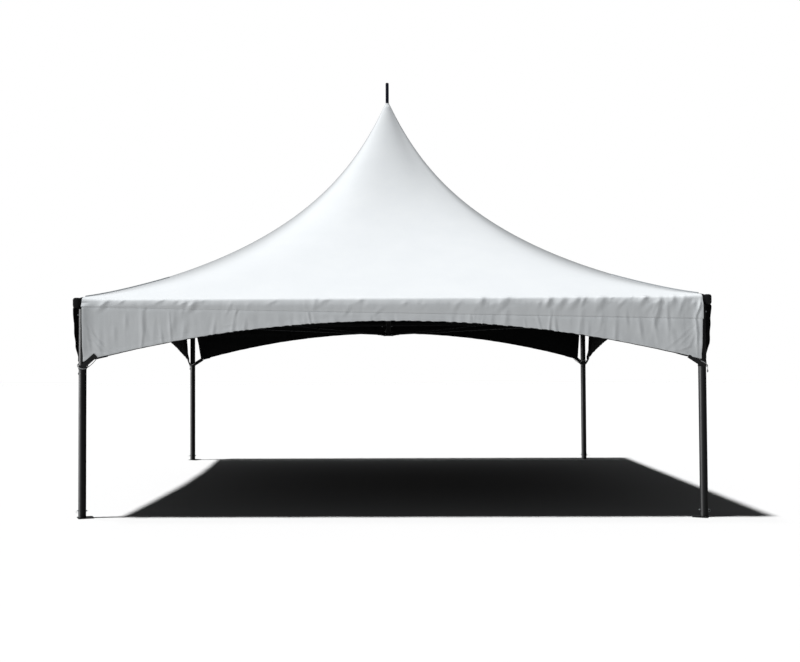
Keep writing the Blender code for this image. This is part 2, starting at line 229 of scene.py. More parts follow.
def ramp(tree: bpy.types.NodeTree, value: bpy.types.NodeSocket, low: float, high: float, to_low: float = 0.0,
         to_high: float = 1.0, smooth: bool = False) -> bpy.types.NodeSocket:
    """Maps a range of values to another one and holds them inside it.

    Args:
        tree: The tree that gets the node.
        value: What is mapped.
        low: The value that gives to_low.
        high: The value that gives to_high.
        to_low: The first result.
        to_high: The last result.
        smooth: Whether it eases in and out.

    Returns:
        The result.
    """
    return add_node(tree, "ShaderNodeMapRange",
                    {"Value": value, "From Min": low, "From Max": high, "To Min": to_low, "To Max": to_high},
                    interpolation_type="SMOOTHSTEP" if smooth else "LINEAR").outputs["Result"]


def mottle(tree: bpy.types.NodeTree, size: float, detail: float = 2.0,
           roughness: float = 0.5) -> bpy.types.NodeSocket:
    """Adds a noise in the piece's own space.

    Args:
        tree: The material's tree.
        size: Of its blotches, in metres.
        detail: How many finer layers it has.
        roughness: How strong they are.

    Returns:
        The noise, about 0.5.
    """
    place = add_node(tree, "ShaderNodeTexCoord").outputs["Object"]
    return add_node(tree, "ShaderNodeTexNoise", {"Vector": place, "Scale": 1 / size, "Detail": detail,
                                                 "Roughness": roughness}).outputs["Fac"]


def crossed_rows(tree: bpy.types.NodeTree, pitch: float, operation: str, ways: Sequence[str] = ("X", "Y"),
                 distortion: float = 0.0) -> bpy.types.NodeSocket:
    """Adds two sets of rows that cross on the cloth, such as threads or yarns.

    Args:
        tree: The material's tree.
        pitch: Metres from one row to the next.
        operation: How the two sets are put together.
        ways: The direction of each set.
        distortion: How much the rows waver.

    Returns:
        Their relief, from 0 to 1.
    """
    cloth = add_node(tree, "ShaderNodeUVMap", uv_map=WEAVE_MAP).outputs["UV"]
    rows = [add_node(tree, "ShaderNodeTexWave",
                     {"Vector": cloth, "Scale": FULL_TURN / (WAVES_A_TURN * pitch), "Distortion": distortion},
                     wave_type="BANDS", bands_direction=way).outputs["Fac"] for way in ways]
    return calculate(tree, operation, *rows)


def emboss(tree: bpy.types.NodeTree, shader: bpy.types.Node, height: bpy.types.NodeSocket,
           strength: float = 1.0, distance: float = 1.0) -> None:
    """Gives the shader a relief, where a height of 1 stands for the distance in metres."""
    bump = add_node(tree, "ShaderNodeBump", {"Strength": strength, "Distance": distance, "Height": height})
    fill(tree, shader, {"Normal": bump.outputs["Normal"]})


@dataclass(frozen=True)
class Finish:
    """A surface by what it is made of; each kind adds its own nodes."""

    name: str
    colour: str
    second: str
    roughness: float
    metallic: float = 0.0

    def build(self) -> bpy.types.Material:
        """Makes the material and dresses it as its kind is.

        Returns:
            The material.
        """
        material = bpy.data.materials.new(self.name)
        material.use_nodes = True
        material.diffuse_color = linear(self.colour)
        shader = material.node_tree.nodes["Principled BSDF"]
        fill(material.node_tree, shader, {"Metallic": self.metallic, "Roughness": self.roughness})
        self.dress(material.node_tree, shader)
        return material

    def dress(self, tree: bpy.types.NodeTree, shader: bpy.types.Node) -> None:
        """Adds the nodes of this kind of surface."""
        raise NotImplementedError

    def tint(self, tree: bpy.types.NodeTree, shader: bpy.types.Node, factor: bpy.types.NodeSocket) -> None:
        """Mixes the finish's two colours by a factor into the shader.

        Args:
            tree: The material's tree.
            shader: The shader that takes the colour.
            factor: 0 gives the first colour and 1 the second.
        """
        mix = add_node(tree, "ShaderNodeMix", {0: factor, 6: linear(self.colour), 7: linear(self.second)},
                       data_type="RGBA")
        fill(tree, shader, {"Base Color": mix.outputs[2]})

    def vary_roughness(self, tree: bpy.types.NodeTree, shader: bpy.types.Node,
                       factor: bpy.types.NodeSocket, spread: float) -> None:
        """Lets the roughness swing by the spread to both sides of its middle value."""
        swing = ramp(tree, factor, 0.0, 1.0, self.roughness - spread, self.roughness + spread)
        fill(tree, shader, {"Roughness": swing})


@dataclass(frozen=True)
class CoatedFabric(Finish):
    """Polyester scrim coated with soft PVC: a satin skin, taut on the roof and crumpled where it hangs."""

    # The scrim has a thread every 2.8 mm, drawn at 11 mm so that it shows at all
    thread_pitch: float = 0.011
    thread_height: float = 0.00012
    cloud_size: float = 0.42
    fold_size: tuple[float, float] = (0.085, 0.36)
    fold_turn: float = 0.12
    fold_height: float = 0.0060
    crease_size: float = 0.13
    crease_height: float = 0.0015
    taut_share: float = 0.10
    slack_from: float = -0.07
    slack_to: float = 0.03

    def dress(self, tree: bpy.types.NodeTree, shader: bpy.types.Node) -> None:
        """Adds the clear skin, the faint clouds and the relief.

        Args:
            tree: The material's tree.
            shader: Its shader.
        """
        fill(tree, shader, {"IOR": 1.53, "Specular IOR Level": 0.3, "Coat Weight": 0.96,
                            "Coat Roughness": 0.13, "Coat IOR": 1.6})
        cloud = mottle(tree, self.cloud_size, 5.0, 0.55)
        self.tint(tree, shader, cloud)
        self.vary_roughness(tree, shader, cloud, 0.06)
        emboss(tree, shader, self.relief(tree))

    def relief(self, tree: bpy.types.NodeTree) -> bpy.types.NodeSocket:
        """Adds up the threads, the hanging folds and the sharp creases.

        Args:
            tree: The material's tree.

        Returns:
            The relief in metres.
        """
        cloth = add_node(tree, "ShaderNodeUVMap", uv_map=WEAVE_MAP).outputs["UV"]
        across, down = (1 / size for size in self.fold_size)
        pulled = add_node(tree, "ShaderNodeMapping", {"Vector": cloth, "Scale": (across, down, 1.0),
                                                      "Rotation": (0.0, 0.0, self.fold_turn)})
        folds = add_node(tree, "ShaderNodeTexNoise",
                         {"Vector": pulled.outputs[0], "Scale": 1.0, "Detail": 1.6, "Roughness": 0.4,
                          "Distortion": 0.35})
        crumple = add_node(tree, "ShaderNodeTexNoise",
                           {"Vector": cloth, "Scale": 1 / self.crease_size, "Detail": 3.0, "Roughness": 0.55,
                            "Distortion": 0.5}, noise_type="RIDGED_MULTIFRACTAL")
        below = add_node(tree, "ShaderNodeSeparateXYZ", {"Vector": cloth}).outputs["Y"]
        slack = ramp(tree, below, self.slack_from, self.slack_to, to_low=self.taut_share, smooth=True)
        soft = calculate(tree, "MULTIPLY", folds.outputs["Fac"], self.fold_height)
        sharp = calculate(tree, "MULTIPLY_ADD", crumple.outputs["Fac"], self.crease_height, soft)
        loose = calculate(tree, "MULTIPLY", sharp, slack)
        weave = crossed_rows(tree, self.thread_pitch, "MAXIMUM")
        return calculate(tree, "MULTIPLY_ADD", weave, self.thread_height, loose)


@dataclass(frozen=True)
class LiningFace(Finish):
    """The canopy's inner face: a blackout coat drawn near black, so that it paints the deep shade inside the
    tent; matt, with faint chalky rubs.
    """

    rub_size: float = 0.25

    def dress(self, tree: bpy.types.NodeTree, shader: bpy.types.Node) -> None:
        """Adds the rubs.

        Args:
            tree: The material's tree.
            shader: Its shader.
        """
        fill(tree, shader, {"Specular IOR Level": 0.25})
        rub = mottle(tree, self.rub_size, 6.0, 0.6)
        self.tint(tree, shader, rub)
        emboss(tree, shader, rub, 0.2, 0.0008)


@dataclass(frozen=True)
class PowderCoat(Finish):
    """Powder coat baked on steel or aluminium: an even film with a fine orange peel and rubbed spots."""

    peel_size: float = 0.006
    rub_size: float = 0.09
    rub_from: float = 0.55
    rub_to: float = 0.78

    def dress(self, tree: bpy.types.NodeTree, shader: bpy.types.Node) -> None:
        """Adds the film, its peel and the rubbed spots.

        Args:
            tree: The material's tree.
            shader: Its shader.
        """
        fill(tree, shader, {"Specular IOR Level": 0.22, "Coat Weight": 0.15, "Coat Roughness": 0.4})
        rub = mottle(tree, self.rub_size, 8.0, 0.7)
        self.tint(tree, shader, ramp(tree, rub, self.rub_from, self.rub_to))
        self.vary_roughness(tree, shader, rub, 0.09)
        emboss(tree, shader, mottle(tree, self.peel_size), 0.2, 0.0003)


@dataclass(frozen=True)
class ZincPlate(Finish):
    """Electroplated zinc on bolts, pins and rings: a cool metal with cloudy spangle and dull patches."""

    spangle: float = 0.010

    def dress(self, tree: bpy.types.NodeTree, shader: bpy.types.Node) -> None:
        """Adds the spangle.

        Args:
            tree: The material's tree.
            shader: Its shader.
        """
        cloud = mottle(tree, self.spangle, 4.0)
        self.tint(tree, shader, cloud)
        self.vary_roughness(tree, shader, cloud, 0.1)


@dataclass(frozen=True)
class StrandedWire(Finish):
    """Galvanised wire rope gone dark with weather: dull grey wires with black in the valleys."""

    wire_pitch: float = 0.003
    soil_size: float = 0.024

    def dress(self, tree: bpy.types.NodeTree, shader: bpy.types.Node) -> None:
        """Adds the soiling and the fine wires."""
        self.tint(tree, shader, mottle(tree, self.soil_size, 6.0))
        emboss(tree, shader, mottle(tree, self.wire_pitch), 0.5, 0.0004)


@dataclass(frozen=True)
class Yarns(Finish):
    """Woven webbing or braided cord: rows of thick yarns that cross, matt, with painted shade in the gaps
    between them.
    """

    # Real rows lie about 1.5 mm apart, drawn wider so that they show
    pitch: float = 0.005
    ways: tuple[str, str] = ("X", "Y")
    waver: float = 0.4
    strength: float = 0.8
    sheen: float = 0.3

    def dress(self, tree: bpy.types.NodeTree, shader: bpy.types.Node) -> None:
        """Adds the rows of yarns as relief, and as painted shade that darkens their gaps.

        Args:
            tree: The material's tree.
            shader: Its shader.
        """
        fill(tree, shader, {"Sheen Weight": self.sheen})
        yarn_relief_and_shade = crossed_rows(tree, self.pitch, "MULTIPLY", self.ways, self.waver)
        # Painted shade: the colour follows the relief, darker in the gaps and lighter on the crowns
        self.tint(tree, shader, yarn_relief_and_shade)
        emboss(tree, shader, yarn_relief_and_shade, self.strength, 0.0008)


def braided_cord(name: str, colour: str, second: str, roughness: float) -> Yarns:
    """A braided cord: slanted yarns that cross straight ones, with no sheen."""
    return Yarns(name, colour, second, roughness, pitch=0.008, ways=("DIAGONAL", "Y"), waver=0.0,
                 strength=0.7, sheen=0.0)


@dataclass(frozen=True)
class Palette:
    """Every finish on the tent, built once."""

    canopy: bpy.types.Material
    lining: bpy.types.Material
    frame: bpy.types.Material
    zinc: bpy.types.Material
    wire: bpy.types.Material
    webbing: bpy.types.Material
    cord: bpy.types.Material
    piping: bpy.types.Material
    welt: bpy.types.Material
    spire: bpy.types.Material

    @classmethod
    def build(cls) -> "Palette":
        """Makes all the materials.

        Returns:
            The palette.
        """
        return cls(
            canopy=CoatedFabric("pvc_coated_polyester_white", "#F3F6F7", "#E9EDEF", 0.52).build(),
            # The near-black lining paints the shade on the inner faces of the canopy and the valances
            lining=LiningFace("pvc_blackout_lining", "#050506", "#0A0A0B", 0.75).build(),
            # Black powder coat, kept near black so that the tubes also paint the deep shade they stand in
            # under the canopy
            frame=PowderCoat("powder_coated_tube_black", "#0A0B0C", "#17181A", 0.58).build(),
            zinc=ZincPlate("zinc_plated_steel", "#A9ADB0", "#7F8487", 0.38, 1.0).build(),
            wire=StrandedWire("galvanised_wire_rope", "#5A5C5F", "#2A2B2D", 0.5, 0.9).build(),
            webbing=Yarns("woven_polyester_webbing_black", "#0B0B0C", "#26272A", 0.85).build(),
            cord=braided_cord("braided_polyester_cord", "#8E8F90", "#D9DADB", 0.8).build(),
            piping=braided_cord("braided_hem_cord_black", "#08080A", "#1B1C1E", 0.75).build(),
            # The welt's grey paints a line of shade along the roof's outline
            welt=braided_cord("grey_pvc_welt_cord", "#A2A6A9", "#B4B8BA", 0.6).build(),
            spire=PowderCoat("enamelled_steel_rod_navy", "#070A1E", "#10142E", 0.3).build(),
        )


def shift(x: float = 0.0, y: float = 0.0, z: float = 0.0) -> Matrix:
    """The placement that moves a shape by so much."""
    return Matrix.Translation((x, y, z))


def add_shape(body: bmesh.types.BMesh, shape: bmesh.types.BMesh, place: Matrix = Matrix.Identity(4),
              finish: int | None = 0) -> None:
    """Adds a finished shape to a piece.

    Args:
        body: The piece that grows.
        shape: The shape, which is used up.
        place: Where the shape goes.
        finish: The number of its material on the piece, or None where its faces have theirs already.
    """
    bmesh.ops.transform(shape, matrix=place, verts=shape.verts[:])
    if finish is not None:
        for face in shape.faces:
            face.material_index = finish
    holder = bpy.data.meshes.new("shape")
    shape.to_mesh(holder)
    shape.free()
    body.from_mesh(holder)
    bpy.data.meshes.remove(holder)


def make_piece(name: str, body: bmesh.types.BMesh, finishes: Sequence[bpy.types.Material],
               nodes: Iterable[str] = ()) -> bpy.types.Object:
    """Makes a piece that rides on the tent.

    Args:
        name: The piece's name.
        body: Its shape, in place, which is used up.
        finishes: Its materials, in the order of their numbers.
        nodes: The CAD nodes that it stands for.

    Returns:
        The new piece.
    """
    mesh = bpy.data.meshes.new(name)
    body.to_mesh(mesh)
    body.free()
    for finish in finishes:
        mesh.materials.append(finish)
    mesh.shade_smooth()
    mesh.set_sharp_from_angle(angle=SHARP_ANGLE)
    piece = bpy.data.objects.new(name, mesh)
    bpy.context.scene.collection.objects.link(piece)
    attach(piece, "root")
    if nodes:
        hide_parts(*nodes)
    LOG.info("%s: %d faces", name, len(mesh.polygons))
    return piece


def turned(profile: Sequence[tuple[float, float]], steps: int = 48,
           closed: bool = False) -> bmesh.types.BMesh:
    """Spins a profile about Z.

    Args:
        profile: Points of (radius, height).
        steps: How many steps go round.
        closed: Whether the last point joins the first, as on a ring or a tube.

    Returns:
        The shape.
    """
    shape = bmesh.new()
    points = [shape.verts.new((radius, 0, height)) for radius, height in profile]
    pairs = list(zip(points, points[1:]))
    if closed:
        pairs.append((points[-1], points[0]))
    edges = [shape.edges.new(pair) for pair in pairs]
    bmesh.ops.spin(shape, geom=points + edges, cent=(0, 0, 0), axis=(0, 0, 1), angle=FULL_TURN,
                   steps=steps, use_merge=True)
    bmesh.ops.remove_doubles(shape, verts=shape.verts[:], dist=1e-6)
    bmesh.ops.recalc_face_normals(shape, faces=shape.faces[:])
    return shape


def turned_bar(radius: float, length: float, rounding: float = 0.0, steps: int = 32) -> bmesh.types.BMesh:
    """A solid round bar from z = 0 up, its two ends rounded.

    Args:
        radius: The bar's radius.
        length: Its length.
        rounding: The radius of its end edges.
        steps: How many steps go round.

    Returns:
        The shape.
    """
    quarter = [math.pi / 2 * step / 3 for step in range(4)]
    lower = [(radius - rounding + rounding * math.sin(angle), rounding - rounding * math.cos(angle))
             for angle in quarter]
    if not rounding:
        lower = [(radius, 0.0)]
    upper = [(out, length - height) for out, height in reversed(lower)]
    return turned([(0.0, 0.0), *lower, *upper, (0.0, length)], steps)


def turned_tube(radius: float, wall: float, length: float, steps: int = 56) -> bmesh.types.BMesh:
    """An open tube from z = 0 up with its cut ends just broken.

    Args:
        radius: Outer radius.
        wall: Wall thickness.
        length: Length.
        steps: How many steps go round.

    Returns:
        The shape.
    """
    chamfer = wall / 4
    inner = radius - wall
    ring = [(inner, 0.0), (radius - chamfer, 0.0), (radius, chamfer), (radius, length - chamfer),
            (radius - chamfer, length), (inner, length)]
    return turned(ring, steps, closed=True)


def bead(radius: float, thickness: float, steps: int = 48, sides: int = 8) -> bmesh.types.BMesh:
    """A round ring about Z, such as a weld bead or a split ring.

    Args:
        radius: Of the ring's centre line.
        thickness: Radius of its section.
        steps: How many steps go round.
        sides: Sides of the section.

    Returns:
        The shape.
    """
    ring = [(radius + thickness * math.cos(FULL_TURN * side / sides),
             thickness * math.sin(FULL_TURN * side / sides)) for side in range(sides)]
    return turned(ring, steps, closed=True)


def rounded_box(size: Sequence[float], rounding: float, segments: int = 2) -> bmesh.types.BMesh:
    """A box about the origin with all its edges rounded.

    Args:
        size: Its length on X, Y and Z.
        rounding: The radius of the edges.
        segments: Steps of the rounding.

    Returns:
        The shape.
    """
    shape = bmesh.new()
    bmesh.ops.create_cube(shape, size=1.0, matrix=Matrix.Diagonal((*size, 1)))
    bmesh.ops.bevel(shape, geom=shape.edges[:], offset=rounding, segments=segments, profile=0.5,
                    affect="EDGES", material=-1)
    return shape


def hex_head(across: float, height: float) -> bmesh.types.BMesh:
    """A hexagon bolt head or nut from z = 0 up, on its washer.

    Args:
        across: Width across its corners.
        height: Height over the washer.

    Returns:
        The shape.
    """
    washer = across * 0.12
    shape = turned([(0, 0), (across * 0.62, 0), (across * 0.62, washer), (0, washer)], 24)
    head = bmesh.new()
    bmesh.ops.create_cone(head, cap_ends=True, segments=6, radius1=across / 2, radius2=across / 2,
                          depth=height, matrix=shift(z=washer + height / 2))
    bmesh.ops.bevel(head, geom=[edge for edge in head.edges if min(v.co.z for v in edge.verts) > washer],
                    offset=across * 0.06, segments=1, profile=0.5, affect="EDGES", material=-1)
    add_shape(shape, head)
    return shape


def through_bolt(across: float, span: float) -> bmesh.types.BMesh:
    """A bolt along Z with its head and nut on the two faces of a part of that span, centred on the origin.

    Args:
        across: Width of the head across its corners.
        span: Thickness that it clamps.

    Returns:
        The shape.
    """
    shape = bmesh.new()
    height = across * 0.42
    add_shape(shape, hex_head(across, height), shift(z=span / 2))
    add_shape(shape, hex_head(across, height), shift(z=-span / 2) @ Matrix.Rotation(math.pi, 4, "X"))
    stub = turned_bar(across * 0.24, across * 0.35, across * 0.05, 16)
    add_shape(shape, stub, shift(z=-span / 2 - height - across * 0.3))
    return shape


def along(start: Vector, end: Vector) -> Matrix:
    """Carries the origin to one point and the Z axis towards another."""
    turn = (Vector(end) - Vector(start)).to_track_quat("Z", "Y").to_matrix().to_4x4()
    return Matrix.Translation(Vector(start)) @ turn


def swept(path: Sequence[Vector], radius: float, sides: int = 10, closed: bool = False) -> bmesh.types.BMesh:
    """A round cord along a path, with its weave map in metres.

    Args:
        path: Points along its centre line.
        radius: Its radius.
        sides: Sides of its section.
        closed: Whether its end joins its start.

    Returns:
        The shape.
    """
    points = [Vector(point) for point in path]
    last = len(points) - 1
    ahead = points[1:] + [points[0] if closed else points[last]]
    behind = [points[last] if closed else points[0]] + points[:last]
    headings = [(after - before).normalized() for before, after in zip(behind, ahead)]
    shape = bmesh.new()
    layer = shape.loops.layers.uv.new(WEAVE_MAP)
    place = along(points[0], points[0] + headings[0])
    bmesh.ops.create_circle(shape, cap_ends=False, segments=sides, radius=radius, matrix=place)
    ring = shape.verts[:]
    edges = shape.edges[:]
    weave = {}
    travelled = 0.0
    for number, point in enumerate(points):
        if number:
            made = bmesh.ops.extrude_edge_only(shape, edges=edges)["geom"]
            ring = [item for item in made if isinstance(item, bmesh.types.BMVert)]
            edges = [item for item in made if isinstance(item, bmesh.types.BMEdge)]
            bend = headings[number - 1].rotation_difference(headings[number]).to_matrix().to_4x4()
            move = Matrix.Translation(point) @ bend @ Matrix.Translation(-points[number - 1])
            bmesh.ops.transform(shape, matrix=move, verts=ring)
            place = move @ place
            travelled += (point - points[number - 1]).length
        back = place.inverted()
        for vert in ring:
            local = back @ vert.co
            weave[vert] = (travelled, radius * math.atan2(local.y, local.x))
    opening = [edge for edge in shape.edges if edge.is_boundary]
    if closed:
        bmesh.ops.bridge_loops(shape, edges=opening)
    else:
        bmesh.ops.holes_fill(shape, edges=opening, sides=sides)
    for face in shape.faces:
        for loop in face.loops:
            loop[layer].uv = weave[loop.vert]
    bmesh.ops.recalc_face_normals(shape, faces=shape.faces[:])
    return shape


def clamp(value: float) -> float:
    """Holds a value between 0 and 1."""
    return min(1.0, max(0.0, value))


def soft_fall(value: float) -> float:
    """Falls softly from 1 far below 0 to 0 far above it."""
    return 1 / (1 + math.exp(min(40.0, value)))


def fall(s: float, bend: float) -> float:
    """A curve from 1 at s = 0 to 0 at s = 1, the more hollow the larger its bend."""
    end = math.exp(-bend)
    return (math.exp(-bend * s) - end) / (1 - end)


def face_towards(sheet: bmesh.types.BMesh, way: Vector) -> float:
    """Turns an open sheet's faces to look a given way.

    Args:
        sheet: The sheet.
        way: Where its faces look, taken together.

    Returns:
        The sheet's area.
    """
    bmesh.ops.recalc_face_normals(sheet, faces=sheet.faces[:])
    if sum(face.normal.dot(way) for face in sheet.faces) < 0:
        bmesh.ops.reverse_faces(sheet, faces=sheet.faces[:])
    return sum(face.calc_area() for face in sheet.faces)


def sheet_grid(columns: int, rows: int, place: Callable[[float, float], tuple[Vector, float, float]],
               cuts: Callable[[float, float], int] | None = None) -> bmesh.types.BMesh:
    """A sheet made from a grid, with its weave map in metres.

    Args:
        columns: Cells across.
        rows: Cells down.
        place: Gives, for shares across and down from 0 to 1, a point and its two cloth distances.
        cuts: Gives, for the same shares, how many cuts make a cell there finer across.

    Returns:
        The open sheet.
    """
    shape = bmesh.new()
    bmesh.ops.create_grid(shape, x_segments=columns, y_segments=rows, size=0.5)
    finer = {}
    for edge in shape.edges if cuts else ():
        first, second = (vert.co for vert in edge.verts)
        if abs(first.y - second.y) < 1e-6:
            finer.setdefault(cuts((first.x + second.x + 1) / 2, 0.5 - first.y), []).append(edge)
    for number, edges in finer.items():
        if number:
            bmesh.ops.subdivide_edges(shape, edges=edges, cuts=number, use_grid_fill=True)
    layer = shape.loops.layers.uv.new(WEAVE_MAP)
    cloth = {}
    for vert in shape.verts:
        vert.co, across, down = place(vert.co.x + 0.5, 0.5 - vert.co.y)
        cloth[vert] = (across, down)
    for face in shape.faces:
        for loop in face.loops:
            loop[layer].uv = cloth[loop.vert]
    return shape


@dataclass(frozen=True)
class Fold:
    """One crease of a side's fabric, in metres across the side and down from the eave."""

    across: float
    down: float
    length: float
    lean: float
    width: float
    height: float
    tuck: float = 0.6

    FAR_OFF = 4.0
    FAR_ALONG = 1.6

    @property
    def reach(self) -> float:
        """How far across the side the crease is felt."""
        return (self.FAR_ALONG * self.length * abs(math.sin(self.lean))
                + self.FAR_OFF * self.width * abs(math.cos(self.lean)))

    def rise(self, across: float, down: float) -> float:
        """How far the crease lifts a point of the fabric: a ridge with a valley on its right.

        Args:
            across: The point's distance across the side.
            down: The point's distance down from the eave.

        Returns:
            The lift in metres.
        """
        right = across - self.across
        below = down - self.down
        run = (below * math.cos(self.lean) - right * math.sin(self.lean)) / self.length
        off = (right * math.cos(self.lean) + below * math.sin(self.lean)) / self.width
        if abs(off) > self.FAR_OFF or abs(run) > self.FAR_ALONG:
            return 0.0
        ridge = math.exp(-abs(off) ** 1.8) - self.tuck * math.exp(-(off - 1.5) ** 2)
        return self.height * math.exp(-2 * run * run) * ridge


@dataclass(frozen=True)
class FoldKind:
    """The ranges that creases of one kind are drawn from, in metres and radians."""

    down: tuple[float, float]
    length: tuple[float, float]
    lean: tuple[float, float]
    width: tuple[float, float]
    height: tuple[float, float]
    tuck: float = 0.6

    def draw(self, across: float, dice: random.Random) -> Fold:
        """Draws a crease that lies so far to the right of the side's middle."""
        drawn = [dice.uniform(*ends) for ends in (self.down, self.length, self.lean, self.width, self.height)]
        return Fold(across, *drawn, self.tuck)


@dataclass
class Drape:
    """The hanging form and the creases of one side, which the canopy's skirt and its valance share."""

    plan: Plan
    side: Side
    seed: int
    half: float = 3.033
    lean: float = 0.035
    depth: float = 0.560
    flare: float = 0.024
    flare_reach: float = 0.050
    flare_from: float = 0.05
    flare_fade: float = 0.10
    sway: float = 0.35
    sway_turns: float = 9
    tied_down: float = 0.525
    seam_down: float = 0.111
    seam_slant: float = 0.024
    seam_lap: float = 0.002
    tuck_from: float = 0.030
    tuck: float = 0.009
    step_down: float = 0.015
    seam_step: float = 0.0085
    seam_soft: float = 0.0065
    puff_depth: float = 0.083
    hem_taper: tuple[float, float] = (0.0, 0.0)
    folds: list[Fold] = field(default_factory=list)
    strips: dict[int, list[Fold]] = field(default_factory=dict)

    # The strongest gathers of the front, in metres to the right of its middle
    FRONT_GATHERS = (-2.83, -1.95, 0.89, 1.12, 1.19, 1.54, 1.66, 1.80, 1.88, 2.05, 2.47, 2.74, 2.88)
    LONG_GATHER = (2.60, 0.10, 0.17, 0.22, 0.024, 0.014)
    EDGE_SLOPE = (2.80, 0.30, 0.42, 0.0, 0.090, 0.014, 0.0)
    EDGE_CURLS = ((2.992, 0.09, 0.11, 0.32, 0.013, 0.020, 0.5), (2.976, 0.32, 0.24, -0.07, 0.013, 0.018, 0.5))
    OTHER_GATHERS = 13
    SMALL_GATHERS = 46
    HANGING_FOLDS = 64
    CROSS_CREASES = 30
    STRONG_KIND = FoldKind((-0.01, 0.05), (0.07, 0.12), (0.45, 0.85), (0.016, 0.040), (0.006, 0.016))
    SMALL_KIND = FoldKind((-0.04, 0.09), (0.03, 0.09), (0.2, 1.2), (0.012, 0.024), (0.003, 0.007))
    HANGING_KIND = FoldKind((0.16, 0.42), (0.10, 0.26), (-0.25, 0.25), (0.011, 0.030), (0.002, 0.0075), 0.4)
    CROSS_KIND = FoldKind((0.22, 0.50), (0.04, 0.10), (1.0, 2.1), (0.008, 0.014), (0.001, 0.003), 0.5)
    CORNER_PULLS = 8
    PULLED_FROM = 0.52
    STRIP = 0.1
    # Height in metres and turns a metre across and down
    RIPPLES = ((0.0060, 1.9, 2.6), (0.0070, 6.5, 4.6), (0.0036, 15.0, 12.0))
    CALM = 0.65
    CALM_TURNS = 0.9
    LEAST_HANGING = 0.15
    # How fast it comes to hang free below the eave, a metre
    HANGS_FREE = 6
    CORNER_FADE = 0.12
    # Where the seam stands out most: its middles and half widths, in metres
    SEAM_PATCHES = ((-2.35, 0.40), (-1.45, 0.20), (-0.65, 0.32), (1.85, 0.95))
    SEAM_LEAST = 0.38
    LEAST_BY_TUBES = -0.0010
    EDGE_REACH = 0.09

    def __post_init__(self) -> None:
        """Lays the creases out, the same each time, and sorts them by where they are felt."""
        dice = random.Random(self.seed)
        self.add_gathers(dice)
        self.add_hanging_folds(dice)
        self.add_corner_pulls(dice)
        for fold in self.folds:
            first = math.floor((fold.across - fold.reach) / self.STRIP)
            last = math.floor((fold.across + fold.reach) / self.STRIP)
            for strip in range(first, last + 1):
                self.strips.setdefault(strip, []).append(fold)

    def add_gathers(self, dice: random.Random) -> None:
        """Adds the short slanting gathers over the eave tube, strongest on the front's right.

        Args:
            dice: The side's own random numbers.
        """
        strong = self.FRONT_GATHERS
        if self.side is not Side.FRONT:
            strong = [dice.uniform(0.15 - self.half, self.half - 0.15) for _ in range(self.OTHER_GATHERS)]
        self.folds += [self.STRONG_KIND.draw(across, dice) for across in strong]
        self.folds += [Fold(*fold) for fold in (self.LONG_GATHER, self.EDGE_SLOPE, *self.EDGE_CURLS)]
        for _ in range(self.SMALL_GATHERS):
            across = self.half * (1 - 1.9 * dice.random() ** 1.35)
            self.folds.append(self.SMALL_KIND.draw(across, dice))

    def add_hanging_folds(self, dice: random.Random) -> None:
        """Adds the long soft folds that hang down the valance, and the short creases across them.

        Args:
            dice: The side's own random numbers.
        """
        for count, kind in ((self.HANGING_FOLDS, self.HANGING_KIND), (self.CROSS_CREASES, self.CROSS_KIND)):
            for _ in range(count):
                self.folds.append(kind.draw(dice.uniform(-self.half, self.half), dice))

    def add_corner_pulls(self, dice: random.Random) -> None:
        """Adds the creases that fan out from the two tied lower corners.

        Args:
            dice: The side's own random numbers.
        """
        for sign in (-1, 1):
            for number in range(self.CORNER_PULLS):
                lean = sign * (0.20 + 0.17 * number + dice.uniform(-0.05, 0.05))
                reach = dice.uniform(0.12, 0.26)
                across = sign * (self.half - 0.03 - reach * math.sin(abs(lean)))
                down = self.PULLED_FROM - reach * math.cos(lean)
                self.folds.append(Fold(across, down, reach, lean, dice.uniform(0.009, 0.016),
                                       dice.uniform(0.002, 0.0045), 0.5))

    def lift(self, across: float, down: float) -> float:
        """How far the fabric stands off its smooth form at a point.

        Args:
            across: Metres to the right of the side's middle.
            down: Metres down from the eave, negative on the roof.

        Returns:
            The outward lift in metres.
        """
        near = self.strips.get(math.floor(across / self.STRIP), ())
        total = sum(fold.rise(across, down) for fold in near)
        calm = self.CALM + noise.noise(Vector((across * self.CALM_TURNS, down, self.seed + 9)))
        hanging = clamp(down * self.HANGS_FREE) * max(self.LEAST_HANGING, calm)
        for height, turns_across, turns_down in self.RIPPLES:
            total += height * hanging * noise.noise(
                Vector((across * turns_across, down * turns_down, self.seed)))
        if down < self.tuck_from or abs(across) > self.half - self.EDGE_REACH:
            total = max(total, self.LEAST_BY_TUBES)
        return total * clamp((self.plan.sheet_out - abs(across)) / self.CORNER_FADE)

    def tucked(self, across: float, down: float) -> float:
        """How the skirt draws in below the eave tube, and steps out again at its seam.

        Args:
            across: Metres to the right of the side's middle.
            down: Metres down from the eave.

        Returns:
            The offset in metres, negative inwards.
        """
        seam = self.seam(across)
        share = clamp((down - self.tuck_from) / (seam - self.tuck_from))
        step = soft_fall((seam + self.step_down - down) / self.seam_soft)
        patch = max(math.exp(-((across - middle) / half) ** 2) for middle, half in self.SEAM_PATCHES)
        out = self.seam_step * (self.SEAM_LEAST + (1 - self.SEAM_LEAST) * patch) * step
        return out - self.tuck * share * share * (3 - 2 * share)

    def seam(self, across: float) -> float:
        """How far down the seam between the skirt and the valance runs; it slants a little."""
        return self.seam_down + self.seam_slant * across

